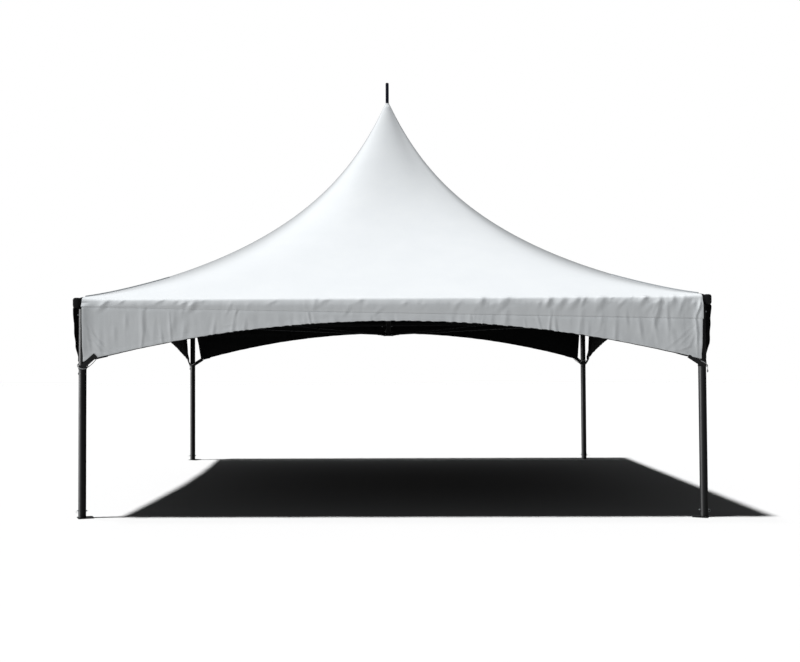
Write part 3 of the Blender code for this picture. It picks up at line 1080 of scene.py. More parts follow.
    def out(self, across: float, down: float) -> float:
        """Distance of the hanging fabric's outer face from the tent's axis.

        Args:
            across: Metres to the right of the side's middle.
            down: Metres down from the eave.

        Returns:
            The distance, with the lean, the flare of the upright edges and the creases.
        """
        wrap = self.plan.sheet_out - self.plan.beam_axis
        fallen = min(down + wrap * math.cos(LEAVE_ANGLE), self.puff_depth)
        smooth = self.plan.beam_axis + wrap * math.sin(LEAVE_ANGLE)
        smooth += fallen * (1 - fallen / (2 * self.puff_depth)) / math.tan(LEAVE_ANGLE)
        smooth -= self.lean * (across / self.half) ** 2 * max(0.0, down) / self.depth
        curl = math.exp(-(max(0.0, self.half - abs(across)) / self.flare_reach) ** 2)
        curl *= min(1.0, down / self.flare_from) * clamp((self.tied_down - down) / self.flare_fade)
        sway = 1 + self.sway * noise.noise(Vector((down * self.sway_turns, across, self.seed)))
        return smooth + self.flare * curl * sway + self.tucked(across, down) + self.lift(across, down)


@dataclass(frozen=True)
class RoofForm:
    """The roof's smooth form: s runs from 0 at the peak to 1 at the eave, round above and square below."""

    plan: Plan
    rise: float = 2.735
    bend: float = 1.50
    peak_share: float = 0.226
    peak_bend: float = 9.3
    square: float = 0.001
    top_s: float = 0.0078

    @property
    def wrap(self) -> float:
        """Radius of the fabric's outer face over the eave tube."""
        return self.plan.sheet_out - self.plan.beam_axis

    @property
    def tilt(self) -> float:
        """Slope of the roof where it meets the eave tube."""
        share = (1 - self.peak_share) * self.bend * math.exp(-self.bend) / (1 - math.exp(-self.bend))
        return math.atan(self.rise * share / (self.plan.beam_axis * (1 - math.log(2) / 2)))

    @property
    def edge(self) -> float:
        """Distance of the roof's lower edge from the tent's axis."""
        return self.plan.beam_axis + self.wrap * math.sin(self.tilt)

    @property
    def edge_z(self) -> float:
        """Height of the roof's lower edge."""
        return self.plan.eave_z + self.wrap * math.cos(self.tilt)

    def power(self, s: float) -> float:
        """Shape of the section, from 0.5 where it is round to 0 where it is square."""
        return max((1 - s) / 2, self.square)

    def distance(self, s: float) -> float:
        """Distance of the middle of a side from the tent's axis."""
        return self.edge * s * 2 ** self.power(s)

    def height(self, s: float) -> float:
        """Height of the section."""
        share = (1 - self.peak_share) * fall(s, self.bend) + self.peak_share * fall(s, self.peak_bend)
        return self.edge_z + self.rise * share

    def normal(self, s: float) -> tuple[float, float]:
        """The slope of the middle of a side.

        Args:
            s: From 0 at the peak to 1 at the eave.

        Returns:
            The outward and upward parts of its normal.
        """
        step = 0.0005
        run = self.distance(s + step) - self.distance(s)
        slope = (self.height(s + step) - self.height(s)) / run
        scale = math.hypot(1, slope)
        return -slope / scale, 1 / scale

    def spread(self, power: float, across: float) -> float:
        """How much nearer a point is than the middle of its side, by its share across.

        Args:
            power: The section's shape.
            across: From -1 at one hip to 1 at the next.

        Returns:
            The divisor of the distance.
        """
        bearing = math.atan(across)
        exponent = 1 / power
        return (math.cos(bearing) ** exponent + abs(math.sin(bearing)) ** exponent) ** power

    def point(self, power: float, distance: float, across: float, height: float) -> Vector:
        """A point on the front side's section.

        Args:
            power: The section's shape.
            distance: Of the middle of the side from the axis.
            across: From -1 at the left hip to 1 at the right one.
            height: Of the section.

        Returns:
            The point.
        """
        bearing = math.atan(across)
        reach = distance / self.spread(power, across)
        return Vector((reach * math.sin(bearing), -reach * math.cos(bearing), height))


@dataclass
class Canopy:
    """The roof as one sewn sheet: a cone above, square below, rolled over the eave tubes into a skirt."""

    plan: Plan
    palette: Palette
    form: RoofForm
    drapes: dict[Side, Drape]
    columns_a_side: int = 72
    slope_rows: int = 52
    fine_rows: int = 10
    wrap_rows: int = 8
    skirt_rows: int = 12
    fine_from: float = 0.94
    front_cuts: int = 6
    other_cuts: int = 2
    row_crowding: float = 1.35
    notch: float = 3.041
    corner_lift: float = 0.016
    corner_reach: float = 0.30
    welt_r: float = 0.0075
    welt_up: float = 0.003
    welt_from: int = 44
    fabric: float = 0.0009
    creased_from: float = -0.45
    crease_fade: float = 0.2
    flat_side: float = 7.20
    # From one side's weave to the next one's
    weave_step: float = 7.0

    def stations(self) -> list[tuple[float, float, float, float, float, float]]:
        """Rows of the sheet down the middle of a side.

        Returns:
            For each row its power, distance, height, outward and upward normal, and how far down it lies
            from the eave.
        """
        rows = []
        shares = [self.fine_from * (row / self.slope_rows) ** self.row_crowding
                  for row in range(self.slope_rows)]
        shares += [self.fine_from + (1 - self.fine_from) * row / self.fine_rows
                   for row in range(self.fine_rows)]
        for share in shares:
            s = self.form.top_s + (1 - self.form.top_s) * share
            rows.append([self.form.power(s), self.form.distance(s), self.form.height(s),
                         *self.form.normal(s), 0.0])
        for row in range(self.wrap_rows + 1):
            angle = self.form.tilt + (LEAVE_ANGLE - self.form.tilt) * row / self.wrap_rows
            out, up = math.sin(angle), math.cos(angle)
            rows.append([self.form.square, self.plan.beam_axis + self.form.wrap * out,
                         self.plan.eave_z + self.form.wrap * up, out, up, 0.0])
        down = -self.form.wrap * math.cos(LEAVE_ANGLE)
        rows[-1][5] = down
        for upper, lower in zip(rows[-2::-1], rows[:0:-1]):
            down -= math.hypot(lower[1] - upper[1], lower[2] - upper[2])
            upper[5] = down
        return [tuple(row) for row in rows]

    def build(self) -> bpy.types.Object:
        """Returns:
            The canopy.
        """
        stations = self.stations()
        tangent = len(stations) - 1
        last = tangent + self.skirt_rows

        def place(u: float, v: float) -> tuple[Vector, float, float]:
            """Puts a share round and down on the roof.

            Args:
                u: From 0 to 1 round the tent.
                v: From 0 at the peak to 1 at the skirt's seam.

            Returns:
                The point and its place on the cloth, across and down.
            """
            quarter = min(int(u * 4 + 1e-9), 3)
            side = Side(quarter)
            drape = self.drapes[side]
            across = math.sin(math.pi * (u * 4 - quarter - 0.5))
            row = round(v * last)
            power, distance, height, outward, upward, down = stations[min(row, tangent)]
            point = self.form.point(power, distance, across, height)
            metres = point.x
            if row > tangent:
                down += (drape.seam(metres) + drape.seam_lap - down) * (row - tangent) / self.skirt_rows
                point = Vector((metres, -drape.out(metres, down), self.plan.eave_z - down))
            elif down > self.creased_from:
                near = min(1.0, (down - self.creased_from) / self.crease_fade)
                point += Vector((0, -outward, upward)) * (drape.lift(metres, down) * near)
            corner = math.hypot(distance - abs(metres), min(0.0, down)) / self.corner_reach
            if row <= tangent and corner < 1.5:
                point.z += self.corner_lift * math.exp(-corner * corner * 3) * upward
            return side.turn @ point, metres + self.weave_step * quarter, down

        def cuts(u: float, v: float) -> int:
            """Makes the eave's cells finer, most of all on the front."""
            finer = self.front_cuts if u < 0.25 else self.other_cuts
            return finer if round(v * last) > self.slope_rows else 0

        sheet = sheet_grid(4 * self.columns_a_side, last, place, cuts)
        bmesh.ops.remove_doubles(sheet, verts=sheet.verts[:], dist=0.00002)
        self.cut_corners(sheet)
        area = face_towards(sheet, Vector((0, 0, 1)))
        piece = make_piece("canopy", sheet, (self.palette.canopy, self.palette.lining),
                           [f"roof_{side.label}" for side in Side])
        thicken(piece, self.fabric)
        for corner in Corner:
            path = [place(corner.value / 4, row / last)[0] for row in range(self.welt_from, tangent)]
            self.hip_welt(corner, [point for point in path if abs(point.x) < self.notch])
        return piece

    def hip_welt(self, corner: Corner, path: Sequence[Vector]) -> bpy.types.Object:
        """Makes the welt along the lowest part of a hip, down to the corner, drawn grey so that it paints a
        line of shade along the roof's outline.

        Args:
            corner: Where the hip ends.
            path: Points of the hip that it covers.

        Returns:
            The welt.
        """
        lifted = [point + Vector((0, 0, self.welt_up)) for point in path]
        return make_piece(f"hip_welt_{corner.label}", swept(lifted, self.welt_r, 8), (self.palette.welt,))

    def cut_corners(self, sheet: bmesh.types.BMesh) -> None:
        """Cuts the four corners square, where the corner fittings stand through.

        Args:
            sheet: The roof's sheet.
        """
        for corner in Corner:
            x_sign, y_sign = (round(value) for value in (corner.turn @ Vector((-1, -1, 0))).xy)
            for normal in ((x_sign, 0, 0), (0, y_sign, 0)):
                near = [face for face in sheet.faces if self.at_corner(face, x_sign, y_sign, 0.15)]
                geometry = near + list({edge for face in near for edge in face.edges}) + list(
                    {vert for face in near for vert in face.verts})
                spot = (x_sign * self.notch, y_sign * self.notch, 0)
                bmesh.ops.bisect_plane(sheet, geom=geometry, dist=1e-6, plane_co=spot, plane_no=normal)
            gone = [face for face in sheet.faces if self.at_corner(face, x_sign, y_sign, 0.0)]
            bmesh.ops.delete(sheet, geom=gone, context="FACES")

    def at_corner(self, face: bmesh.types.BMFace, x_sign: int, y_sign: int, margin: float) -> bool:
        """Whether a face lies beyond the cut at a corner, or within a margin of it."""
        middle = face.calc_center_median()
        return middle.x * x_sign > self.notch - margin and middle.y * y_sign > self.notch - margin


def thicken(piece: bpy.types.Object, thickness: float) -> None:
    """Gives a sheet its thickness inwards, its inner face in the second material.

    Args:
        piece: The sheet.
        thickness: Its thickness.
    """
    wall = piece.modifiers.new("thickness", "SOLIDIFY")
    wall.thickness = thickness
    wall.offset = -1.0
    wall.material_offset = 1
    wall.material_offset_rim = 0


@dataclass
class Valance:
    """One arched valance, sewn under the canopy's skirt and tied to the legs at its lower corners."""

    plan: Plan
    palette: Palette
    side: Side
    drape: Drape
    arch_top: float
    columns: int
    arch_end: float = 1.548
    arch_span: float = 3.000
    rows: int = 60
    fabric: float = 0.0009
    top_down: float = 0.002
    under_skirt: float = 0.0011
    under_fade: float = 0.008
    hem: float = 0.032
    hem_lift: float = 0.0022
    hem_soft: float = 0.0036
    pucker: float = 0.0035
    pucker_turns: float = 11
    hem_wave: float = 0.0048
    hem_turns: float = 13
    hem_reach: float = 0.05
    cord_r: float = 0.0045
    cord_share: float = 0.985
    cord_steps: int = 120
    cord_drop: float = 0.006
    slack_from: float = 0.55

    def bottom(self, metres: float) -> float:
        """Height of the hem.

        Args:
            metres: To the right of the side's middle.

        Returns:
            The height in metres.
        """
        arch = (metres / self.arch_span) ** 2
        pucker = self.pucker * noise.noise(Vector((metres * self.pucker_turns, 0, self.drape.seed)))
        return self.arch_top - (self.arch_top - self.arch_end) * arch + pucker

    def point(self, metres: float, height: float) -> Vector:
        """A point of the front valance with its creases.

        Args:
            metres: To the right of the side's middle.
            height: In metres.

        Returns:
            The point.
        """
        down = self.plan.eave_z - height
        above_hem = height - self.bottom(metres)
        below_skirt = (down - self.drape.seam(metres) - self.drape.seam_lap) / self.under_fade
        out = self.drape.out(metres, down) - self.under_skirt * (1 - clamp(below_skirt))
        out += self.hem_lift * soft_fall((above_hem - self.hem) / self.hem_soft)
        wave = noise.noise(Vector((metres * self.hem_turns, 0, self.drape.seed + 5)))
        out += self.hem_wave * wave * math.exp(-above_hem / self.hem_reach)
        return Vector((metres, -out, height))

    def build(self) -> bpy.types.Object:
        """Returns:
            The valance.
        """
        top = self.plan.eave_z - self.top_down
        half = self.drape.half

        def place(u: float, v: float) -> tuple[Vector, float, float]:
            """Puts a share across and down on the valance.

            Args:
                u: From 0 at the left edge to 1 at the right one.
                v: From 0 at the eave to 1 at the hem.

            Returns:
                The point and its place on the cloth, across and down.
            """
            metres = (2 * u - 1) * (half - self.drape.hem_taper[u > 0.5] * v)
            height = top + (self.bottom(metres) - top) * v
            return self.side.turn @ self.point(metres, height), metres, self.plan.eave_z - height

        sheet = sheet_grid(self.columns, self.rows, place)
        area = face_towards(sheet, self.side.turn @ Vector((0, -1, 0)))
        piece = make_piece(f"valance_skirt_{self.side.label}", sheet,
                           (self.palette.canopy, self.palette.lining),
                           [f"valance_{self.side.label}"])
        thicken(piece, self.fabric)
        flat = (round(2 * half, 3), round(top - self.bottom(half), 3))
        self.hem_cord()
        return piece

    def hem_cord(self) -> bpy.types.Object:
        """Makes the cord that runs through the hem and drops out of it towards the legs.

        Returns:
            The cord.
        """
        path = []
        left, right = (self.cord_share * self.drape.half - taper for taper in self.drape.hem_taper)
        for step in range(self.cord_steps + 1):
            metres = (left + right) * step / self.cord_steps - left
            slack = max(0.0, abs(metres) / self.drape.half - self.slack_from) / (1 - self.slack_from)
            point = self.point(metres, self.bottom(metres) + 0.001)
            path.append(self.side.turn @ (point + Vector((0, 0.004, 0.001 - self.cord_drop * slack))))
        return make_piece(f"hem_cord_{self.side.label}", swept(path, self.cord_r, 8),
                          (self.palette.piping,))


def lug(length: float) -> bmesh.types.BMesh:
    """The plate that a rope's fork grips, about the origin and so long on X."""
    return rounded_box((length, 2 * LUG_HALF, 2 * LUG_RISE), 0.0015)


@dataclass
class TubeFrame:
    """Legs, base plates, corner fittings and eave tubes."""

    plan: Plan
    palette: Palette
    bolt: float = 0.019
    plate_side: float = 0.152
    plate_thick: float = 0.006
    plate_turn: float = math.radians(23)
    plate_inset: float = 0.033
    plate_corner: float = 0.014
    hole_r: float = 0.009
    hole_out: float = 0.060
    collar_end: float = 3.000
    collar_from: float = 3.070
    cap_out: float = 0.010
    cap_r: float = 0.0405
    cap_top: float = 2.171
    cap_round: float = 0.022
    spigot_end: float = 2.880
    lug_in: float = 4.222
    bolt_down: float = 0.055
    bolt_height: float = 0.007
    foot_pin_z: float = 0.070
    foot_pin_r: float = 0.0065
    foot_pin_out: float = 0.011
    ring_r: float = 0.012
    spigot_top: float = 0.088
    set_screw: float = 3.022
    splice_bolt: float = 0.075
    end_bolt: float = 0.060
    weld_r: float = 0.0035
    leg_spigot: float = 0.14
    cap_clear: float = 0.012
    overlap: float = 0.01

    def build(self) -> None:
        """Makes every piece of the tube frame."""
        for corner in Corner:
            self.build_leg(corner)
            self.build_plate(corner)
            self.build_fitting(corner)
        for side in Side:
            for hand, sign in (("left", -1), ("right", 1)):
                self.build_beam(side, hand, sign)

    def build_leg(self, corner: Corner) -> None:
        """Makes a leg with its base pin and its bolts to the corner fitting.

        Args:
            corner: Where it stands.
        """
        plan = self.plan
        body = bmesh.new()
        spot = corner.turn @ Vector((-plan.leg_axis, -plan.leg_axis, 0))
        base = Matrix.Translation(spot)
        add_shape(body, turned_tube(plan.tube_r, TUBE_WALL, plan.leg_top - plan.leg_foot),
                  base @ shift(z=plan.leg_foot))
        span = 2 * plan.tube_r
        add_shape(body, through_bolt(self.bolt, span),
                  base @ shift(z=plan.leg_top - self.bolt_down) @ Z_TO_X, 1)
        outward = 1 if spot.x > 0 else -1
        pin = base @ shift(outward * (plan.tube_r + self.foot_pin_out), 0, self.foot_pin_z)
        foot_pin = turned_bar(self.foot_pin_r, span + 0.024, 0.002, 16)
        add_shape(body, foot_pin, pin @ Matrix.Rotation(-outward * math.pi / 2, 4, "Y"), 1)
        ring = pin @ shift(outward * 0.001, 0, 0.001 - self.ring_r) @ Matrix.Rotation(0.5, 4, "Y")
        add_shape(body, bead(self.ring_r, 0.0014, 20, 6), ring @ Matrix.Rotation(math.pi / 2, 4, "X"), 1)
        make_piece(f"leg_tube_{corner.label}", body, (self.palette.frame, self.palette.zinc),
                   [f"leg_{corner.label}"])

    def build_plate(self, corner: Corner) -> None:
        """Makes a base plate with its rounded corners, stake holes and welded spigot.

        Args:
            corner: Where it lies.
        """
        plan = self.plan
        spot = corner.turn @ Vector((-plan.leg_axis, -plan.leg_axis, 0))
        x_sign, y_sign = (math.copysign(1, value) for value in spot.xy)
        turn = Matrix.Rotation(self.plate_turn * x_sign * y_sign, 4, "Z")
        middle = shift(spot.x - self.plate_inset * x_sign, spot.y, 0) @ turn
        plate = bmesh.new()
        size = (self.plate_side, self.plate_side, self.plate_thick, 1)
        bmesh.ops.create_cube(plate, size=1.0, matrix=shift(z=self.plate_thick / 2) @ Matrix.Diagonal(size))
        upright = [edge for edge in plate.edges if abs(edge.verts[0].co.z - edge.verts[1].co.z) > 0.001]
        bmesh.ops.bevel(plate, geom=upright, offset=self.plate_corner, segments=5, profile=0.5,
                        affect="EDGES", material=-1)
        rim = [edge for edge in plate.edges if min(v.co.z for v in edge.verts) > self.plate_thick - 1e-5]
        bmesh.ops.bevel(plate, geom=rim, offset=0.0008, segments=2, profile=0.5, affect="EDGES", material=-1)
        bmesh.ops.transform(plate, matrix=middle, verts=plate.verts[:])
        cutters = bmesh.new()
        for side in (-1, 1):
            hole = turned_bar(self.hole_r, 3 * self.plate_thick, 0.0, 24)
            add_shape(cutters, hole,
                      middle @ shift(-self.hole_out * x_sign, self.hole_out * side, -self.plate_thick))
        body = carved(plate, cutters)
        centre = shift(spot.x, spot.y, self.plate_thick - 0.001)
        spigot = turned_bar(plan.tube_r - TUBE_WALL - GAP, self.spigot_top - self.plate_thick, 0.006)
        weld = bead(plan.tube_r - TUBE_WALL - 0.001, 0.0022)
        for part in (spigot, weld):
            add_shape(body, part, centre)
        make_piece(f"foot_plate_{corner.label}", body, (self.palette.frame,),
                   [f"base_plate_{corner.label}"])

    def build_fitting(self, corner: Corner) -> None:
        """Makes a corner fitting: two arms, a leg collar, the cap that stands through the canopy and a lug.

        Args:
            corner: Where it sits.
        """
        plan = self.plan
        body = bmesh.new()
        place = corner.turn
        elbow = Vector((-plan.beam_axis, -plan.beam_axis, plan.eave_z))
        leg = Vector((-plan.leg_axis, -plan.leg_axis, 0))
        spigot_r = plan.tube_r - TUBE_WALL - GAP
        leg_top = plan.leg_top + GAP
        add_shape(body, turned_bar(plan.tube_r, plan.eave_z - leg_top, 0.0, 56),
                  place @ shift(leg.x, leg.y, leg_top))
        add_shape(body, turned_bar(spigot_r, self.leg_spigot, 0.004),
                  place @ shift(leg.x, leg.y, leg_top + self.overlap - self.leg_spigot))
        cap_bottom = plan.leg_top + self.cap_clear
        cap = turned_bar(self.cap_r, self.cap_top - cap_bottom, self.cap_round, 56)
        add_shape(body, cap, place @ shift(elbow.x - self.cap_out, elbow.y - self.cap_out, cap_bottom))
        up = Vector((0, 0, 1))
        for inward in (Vector((1, 0, 0)), Vector((0, 1, 0))):
            start = elbow + inward * (plan.beam_axis - self.collar_from)
            collar_end = elbow + inward * (plan.beam_axis - self.collar_end)
            spigot_end = elbow + inward * (plan.beam_axis - self.spigot_end)
            collar = turned_bar(plan.tube_r, (collar_end - start).length, 0.002, 56)
            add_shape(body, collar, place @ along(start, collar_end))
            add_shape(body, turned_bar(spigot_r, (spigot_end - collar_end).length + self.overlap, 0.004),
                      place @ along(collar_end - inward * self.overlap, spigot_end))
            weld = elbow + inward * (self.cap_r * 0.62)
            add_shape(body, bead(self.cap_r - 0.0015, self.weld_r), place @ along(weld, collar_end))
            spot = elbow + inward * (plan.beam_axis - self.set_screw) - up * plan.tube_r
            add_shape(body, hex_head(self.bolt, self.bolt_height), place @ along(spot, spot - up), 1)
        far = plan.leg_axis * math.sqrt(2)
        add_shape(body, lug(far - self.lug_in),
                  corner.diagonal @ shift((far + self.lug_in) / 2, 0, CORNER_PIN_Z))
        add_shape(body, bead(plan.tube_r, 0.003), place @ shift(leg.x, leg.y, leg_top + 0.004))
        make_piece(f"corner_casting_{corner.label}", body, (self.palette.frame, self.palette.zinc),
                   [f"corner_fitting_{corner.label}"])

    def build_beam(self, side: Side, hand: str, sign: int) -> None:
        """Makes half of a side's eave tube with the bolts that hold its splice and its corner spigot.

        Args:
            side: The side that it runs along.
            hand: "left" or "right" seen from outside.
            sign: -1 on the left and 1 on the right.
        """
        plan = self.plan
        body = bmesh.new()
        start = side.turn @ Vector((sign * GAP, -plan.beam_axis, plan.eave_z))
        end = side.turn @ Vector((sign * plan.beam_end, -plan.beam_axis, plan.eave_z))
        add_shape(body, turned_tube(plan.tube_r, TUBE_WALL, (end - start).length), along(start, end))
        for out in (self.splice_bolt, plan.beam_end - self.end_bolt):
            low = side.turn @ Vector((sign * out, -plan.beam_axis, plan.eave_z - plan.tube_r))
            add_shape(body, hex_head(self.bolt, self.bolt_height), along(low, low - Vector((0, 0, 1))), 1)
        make_piece(f"eave_tube_{side.label}_{hand}", body, (self.palette.frame, self.palette.zinc),
                   [f"eave_beam_{side.label}_{hand}"])


def carved(body: bmesh.types.BMesh, cutters: bmesh.types.BMesh) -> bmesh.types.BMesh:
    """Cuts one shape with another.

    Args:
        body: The shape to cut, which is used up.
        cutters: The shape to take away, which is used up.

    Returns:
        The cut shape.
    """
    holders = []
    for name, shape in (("body", body), ("cutters", cutters)):
        mesh = bpy.data.meshes.new(name)
        shape.to_mesh(mesh)
        shape.free()
        holder = bpy.data.objects.new(name, mesh)
        bpy.context.scene.collection.objects.link(holder)
        holders.append(holder)
    step = holders[0].modifiers.new("cut", "BOOLEAN")
    step.operation = "DIFFERENCE"
    step.object = holders[1]
    bpy.context.view_layer.update()
    graph = bpy.context.evaluated_depsgraph_get()
    result = bmesh.new()
    result.from_mesh(holders[0].evaluated_get(graph).to_mesh())
    for holder in holders:
        bpy.data.meshes.remove(holder.data)
    return result


@dataclass
class Mast:
    """The short mast that floats on the wire ropes, with its foot, crown and spire."""

    plan: Plan
    palette: Palette
    form: RoofForm
    foot_z: float = 1.850
    cup_floor: float = 0.018
    cup_top: float = 1.930
    cup_r: float = 0.036
    cup_chamfer: float = 0.004
    cup_bolt: float = 0.017
    cup_bolt_down: float = 0.022
    lug_out: float = 0.085
    crown_s: float = 0.022
    skin: float = 0.0038
    boot_height: float = 0.022
    enamel: float = 0.003

    def build(self) -> None:
        """Makes the mast's pieces."""
        self.build_mast()
        self.build_foot()
        self.build_crown()
        self.build_spire()

    def build_mast(self) -> None:
        """Makes the mast's tube."""
        plan = self.plan
        body = bmesh.new()
        add_shape(body, turned_tube(plan.mast_r, TUBE_WALL, plan.mast_top - plan.mast_bottom),
                  shift(z=plan.mast_bottom))
        make_piece("mast_tube", body, (self.palette.frame,), ["mast"])

    def build_foot(self) -> None:
        """Makes the cup under the mast, with its four lugs and its cross bolt."""
        bore = self.plan.mast_r + GAP
        floor = self.foot_z + self.cup_floor
        lip = 0.0012
        profile = [(0, floor), (bore, floor), (bore, self.cup_top - lip), (bore + lip, self.cup_top),
                   (self.cup_r - lip, self.cup_top), (self.cup_r, self.cup_top - lip),
                   (self.cup_r, self.foot_z + self.cup_chamfer),
                   (self.cup_r - self.cup_chamfer, self.foot_z), (0, self.foot_z)]
        body = turned(profile, 56)
        for corner in Corner:
            near = bore + 0.001
            add_shape(body, lug(self.lug_out - near),
                      corner.diagonal @ shift((near + self.lug_out) / 2, 0, FOOT_PIN_Z))
        add_shape(body, through_bolt(self.cup_bolt, 2 * self.cup_r),
                  shift(z=self.cup_top - self.cup_bolt_down) @ Z_TO_X, 1)
        make_piece("mast_cup", body, (self.palette.frame, self.palette.zinc), ["mast_foot"])

    def build_crown(self) -> None:
        """Makes the turned cone that holds the fabric's peak."""
        outline = []
        for step in range(9):
            s = self.form.top_s + (self.crown_s - self.form.top_s) * step / 8
            outward, upward = self.form.normal(s)
            outline.append((self.form.distance(s) - self.skin * outward,
                            self.form.height(s) - self.skin * upward))
        low_r, low_z = outline[-1]
        profile = [(0, outline[0][1]), *outline, (low_r - 0.004, low_z - 0.004),
                   (self.plan.mast_r, low_z - 0.004), (0, low_z - 0.001)]
        body = turned(profile, 64)
        make_piece("crown", body, (self.palette.frame,), ["crown_cone"])

    def build_spire(self) -> None:
        """Makes the rod over the peak with its rounded tip, and the fabric boot round its foot."""
        plan = self.plan
        body = bmesh.new()
        bottom = plan.crown_top + GAP
        add_shape(body, turned_bar(plan.spire_r + self.enamel, plan.spire_top - bottom, 0.009, 40),
                  shift(z=bottom))
        make_piece("spire", body, (self.palette.spire,), ["spire_rod"])
        top_r = self.form.distance(self.form.top_s)
        top_z = self.form.height(self.form.top_s)
        inner = plan.spire_r + self.enamel + 0.0004
        boot = [(top_r + 0.0006, top_z - 0.010), (top_r - 0.002, top_z + 0.002),
                (inner + 0.0022, top_z + self.boot_height), (inner, top_z + self.boot_height),
                (inner, top_z + self.boot_height - 0.008), (top_r - 0.004, top_z + 0.0004)]
        collar = turned(boot, 48, closed=True)
        collar.loops.layers.uv.new(WEAVE_MAP)
        make_piece("peak_boot", collar, (self.palette.canopy,))


@dataclass
class StayRope:
    """A taut wire rope from the mast's foot out to a corner fitting, with its swaged forks and pins."""

    palette: Palette
    corner: Corner
    rope_r: float = 0.006
    foot_out: float = 0.070
    corner_out: float = 4.240
    fork_back: float = 0.050
    cheek: float = 0.005
    lay: float = 0.110
    strands: int = 6
    strand_sides: int = 5
    steps_a_lay: int = 8
    swell: float = 1.06
    swage: float = 0.075
    fork_height: float = 0.0264
    nose: float = 0.014
    web: float = 0.012
    rounding: float = 0.0018
    swage_wall: float = 0.0035
    pin_r: float = 0.0055
    head_r: float = 0.0085
    pin_out: float = 0.004
    clip_r: float = 0.008

    def strand_core(self, length: float) -> bmesh.types.BMesh:
        """The laid rope on the X axis, from x = 0 on.

        Args:
            length: Of the rope.

        Returns:
            The shape.
        """
        strand_r = self.rope_r / 3
        ring_r = self.rope_r - strand_r
        shape = bmesh.new()
        for number in range(self.strands):

            def place(u: float, v: float) -> tuple[Vector, float, float]:
                """Puts a share round and along on a strand.

                Args:
                    u: From 0 to 1 round the strand.
                    v: From 0 to 1 along it.

                Returns:
                    The point and its place on the cloth, round and along.
                """
                around = FULL_TURN * u
                spot = Vector((v * length, ring_r + strand_r * self.swell * math.cos(around),
                               strand_r * self.swell * math.sin(around)))
                turn = Matrix.Rotation(FULL_TURN * (number / self.strands + v * length / self.lay), 3, "X")
                return turn @ spot, around * strand_r, v * length

            strand = sheet_grid(self.strand_sides, round(length / self.lay * self.steps_a_lay), place)
            bmesh.ops.remove_doubles(strand, verts=strand.verts[:], dist=1e-6)
            add_shape(shape, strand)
        bmesh.ops.holes_fill(shape, edges=[edge for edge in shape.edges if edge.is_boundary],
                             sides=self.strand_sides)
        bmesh.ops.recalc_face_normals(shape, faces=shape.faces[:])
        return shape

    def fork(self) -> bmesh.types.BMesh:
        """A fork with its pin's hole at the origin and its rope towards +X.

        Returns:
            The shape, the fork in the second material and its pin in the third.
        """
        inner = LUG_HALF + GAP
        outer = inner + self.cheek
        shape = bmesh.new()
        for sign in (-1, 1):
            cheek = rounded_box((self.fork_back + self.nose, self.cheek, self.fork_height), self.rounding)
            add_shape(shape, cheek, shift((self.fork_back - self.nose) / 2, sign * (inner + outer) / 2), 1)
        web = rounded_box((self.web, 2 * outer, self.fork_height), self.rounding)
        add_shape(shape, web, shift(self.fork_back - self.web / 2), 1)
        sleeve = turned_bar(self.rope_r + self.swage_wall, self.swage, 0.0025, 24)
        add_shape(shape, sleeve, shift(self.fork_back - 0.003) @ Z_TO_X, 1)
        level = shift(y=-outer - self.pin_out) @ Matrix.Rotation(-math.pi / 2, 4, "X")
        add_shape(shape, turned_bar(self.pin_r, 2 * (outer + self.pin_out), 0.001, 16), level, 2)
        add_shape(shape, turned_bar(self.head_r, 0.003, 0.0008, 20), level, 2)
        add_shape(shape, bead(self.clip_r, 0.0011, 18, 6), shift(0, outer + 0.0028, -0.006) @ Z_TO_X, 2)
        return shape

    def build(self) -> None:
        """Makes the rope with both its ends."""
        low = Vector((self.foot_out, 0, FOOT_PIN_Z))
        high = Vector((self.corner_out, 0, CORNER_PIN_Z))
        length = (high - low).length
        tilt = math.atan2(high.z - low.z, high.x - low.x)
        start = self.corner.diagonal @ Matrix.Translation(low) @ Matrix.Rotation(-tilt, 4, "Y")
        body = bmesh.new()
        rope = self.strand_core(length - 2 * self.fork_back)
        add_shape(body, rope, start @ shift(self.fork_back))
        for end in (start, start @ shift(length) @ Matrix.Rotation(math.pi, 4, "Z")):
            add_shape(body, self.fork(), end, None)
        make_piece(f"stay_rope_{self.corner.label}", body,
                   (self.palette.wire, self.palette.frame, self.palette.zinc),
                   [f"cable_{self.corner.label}"])


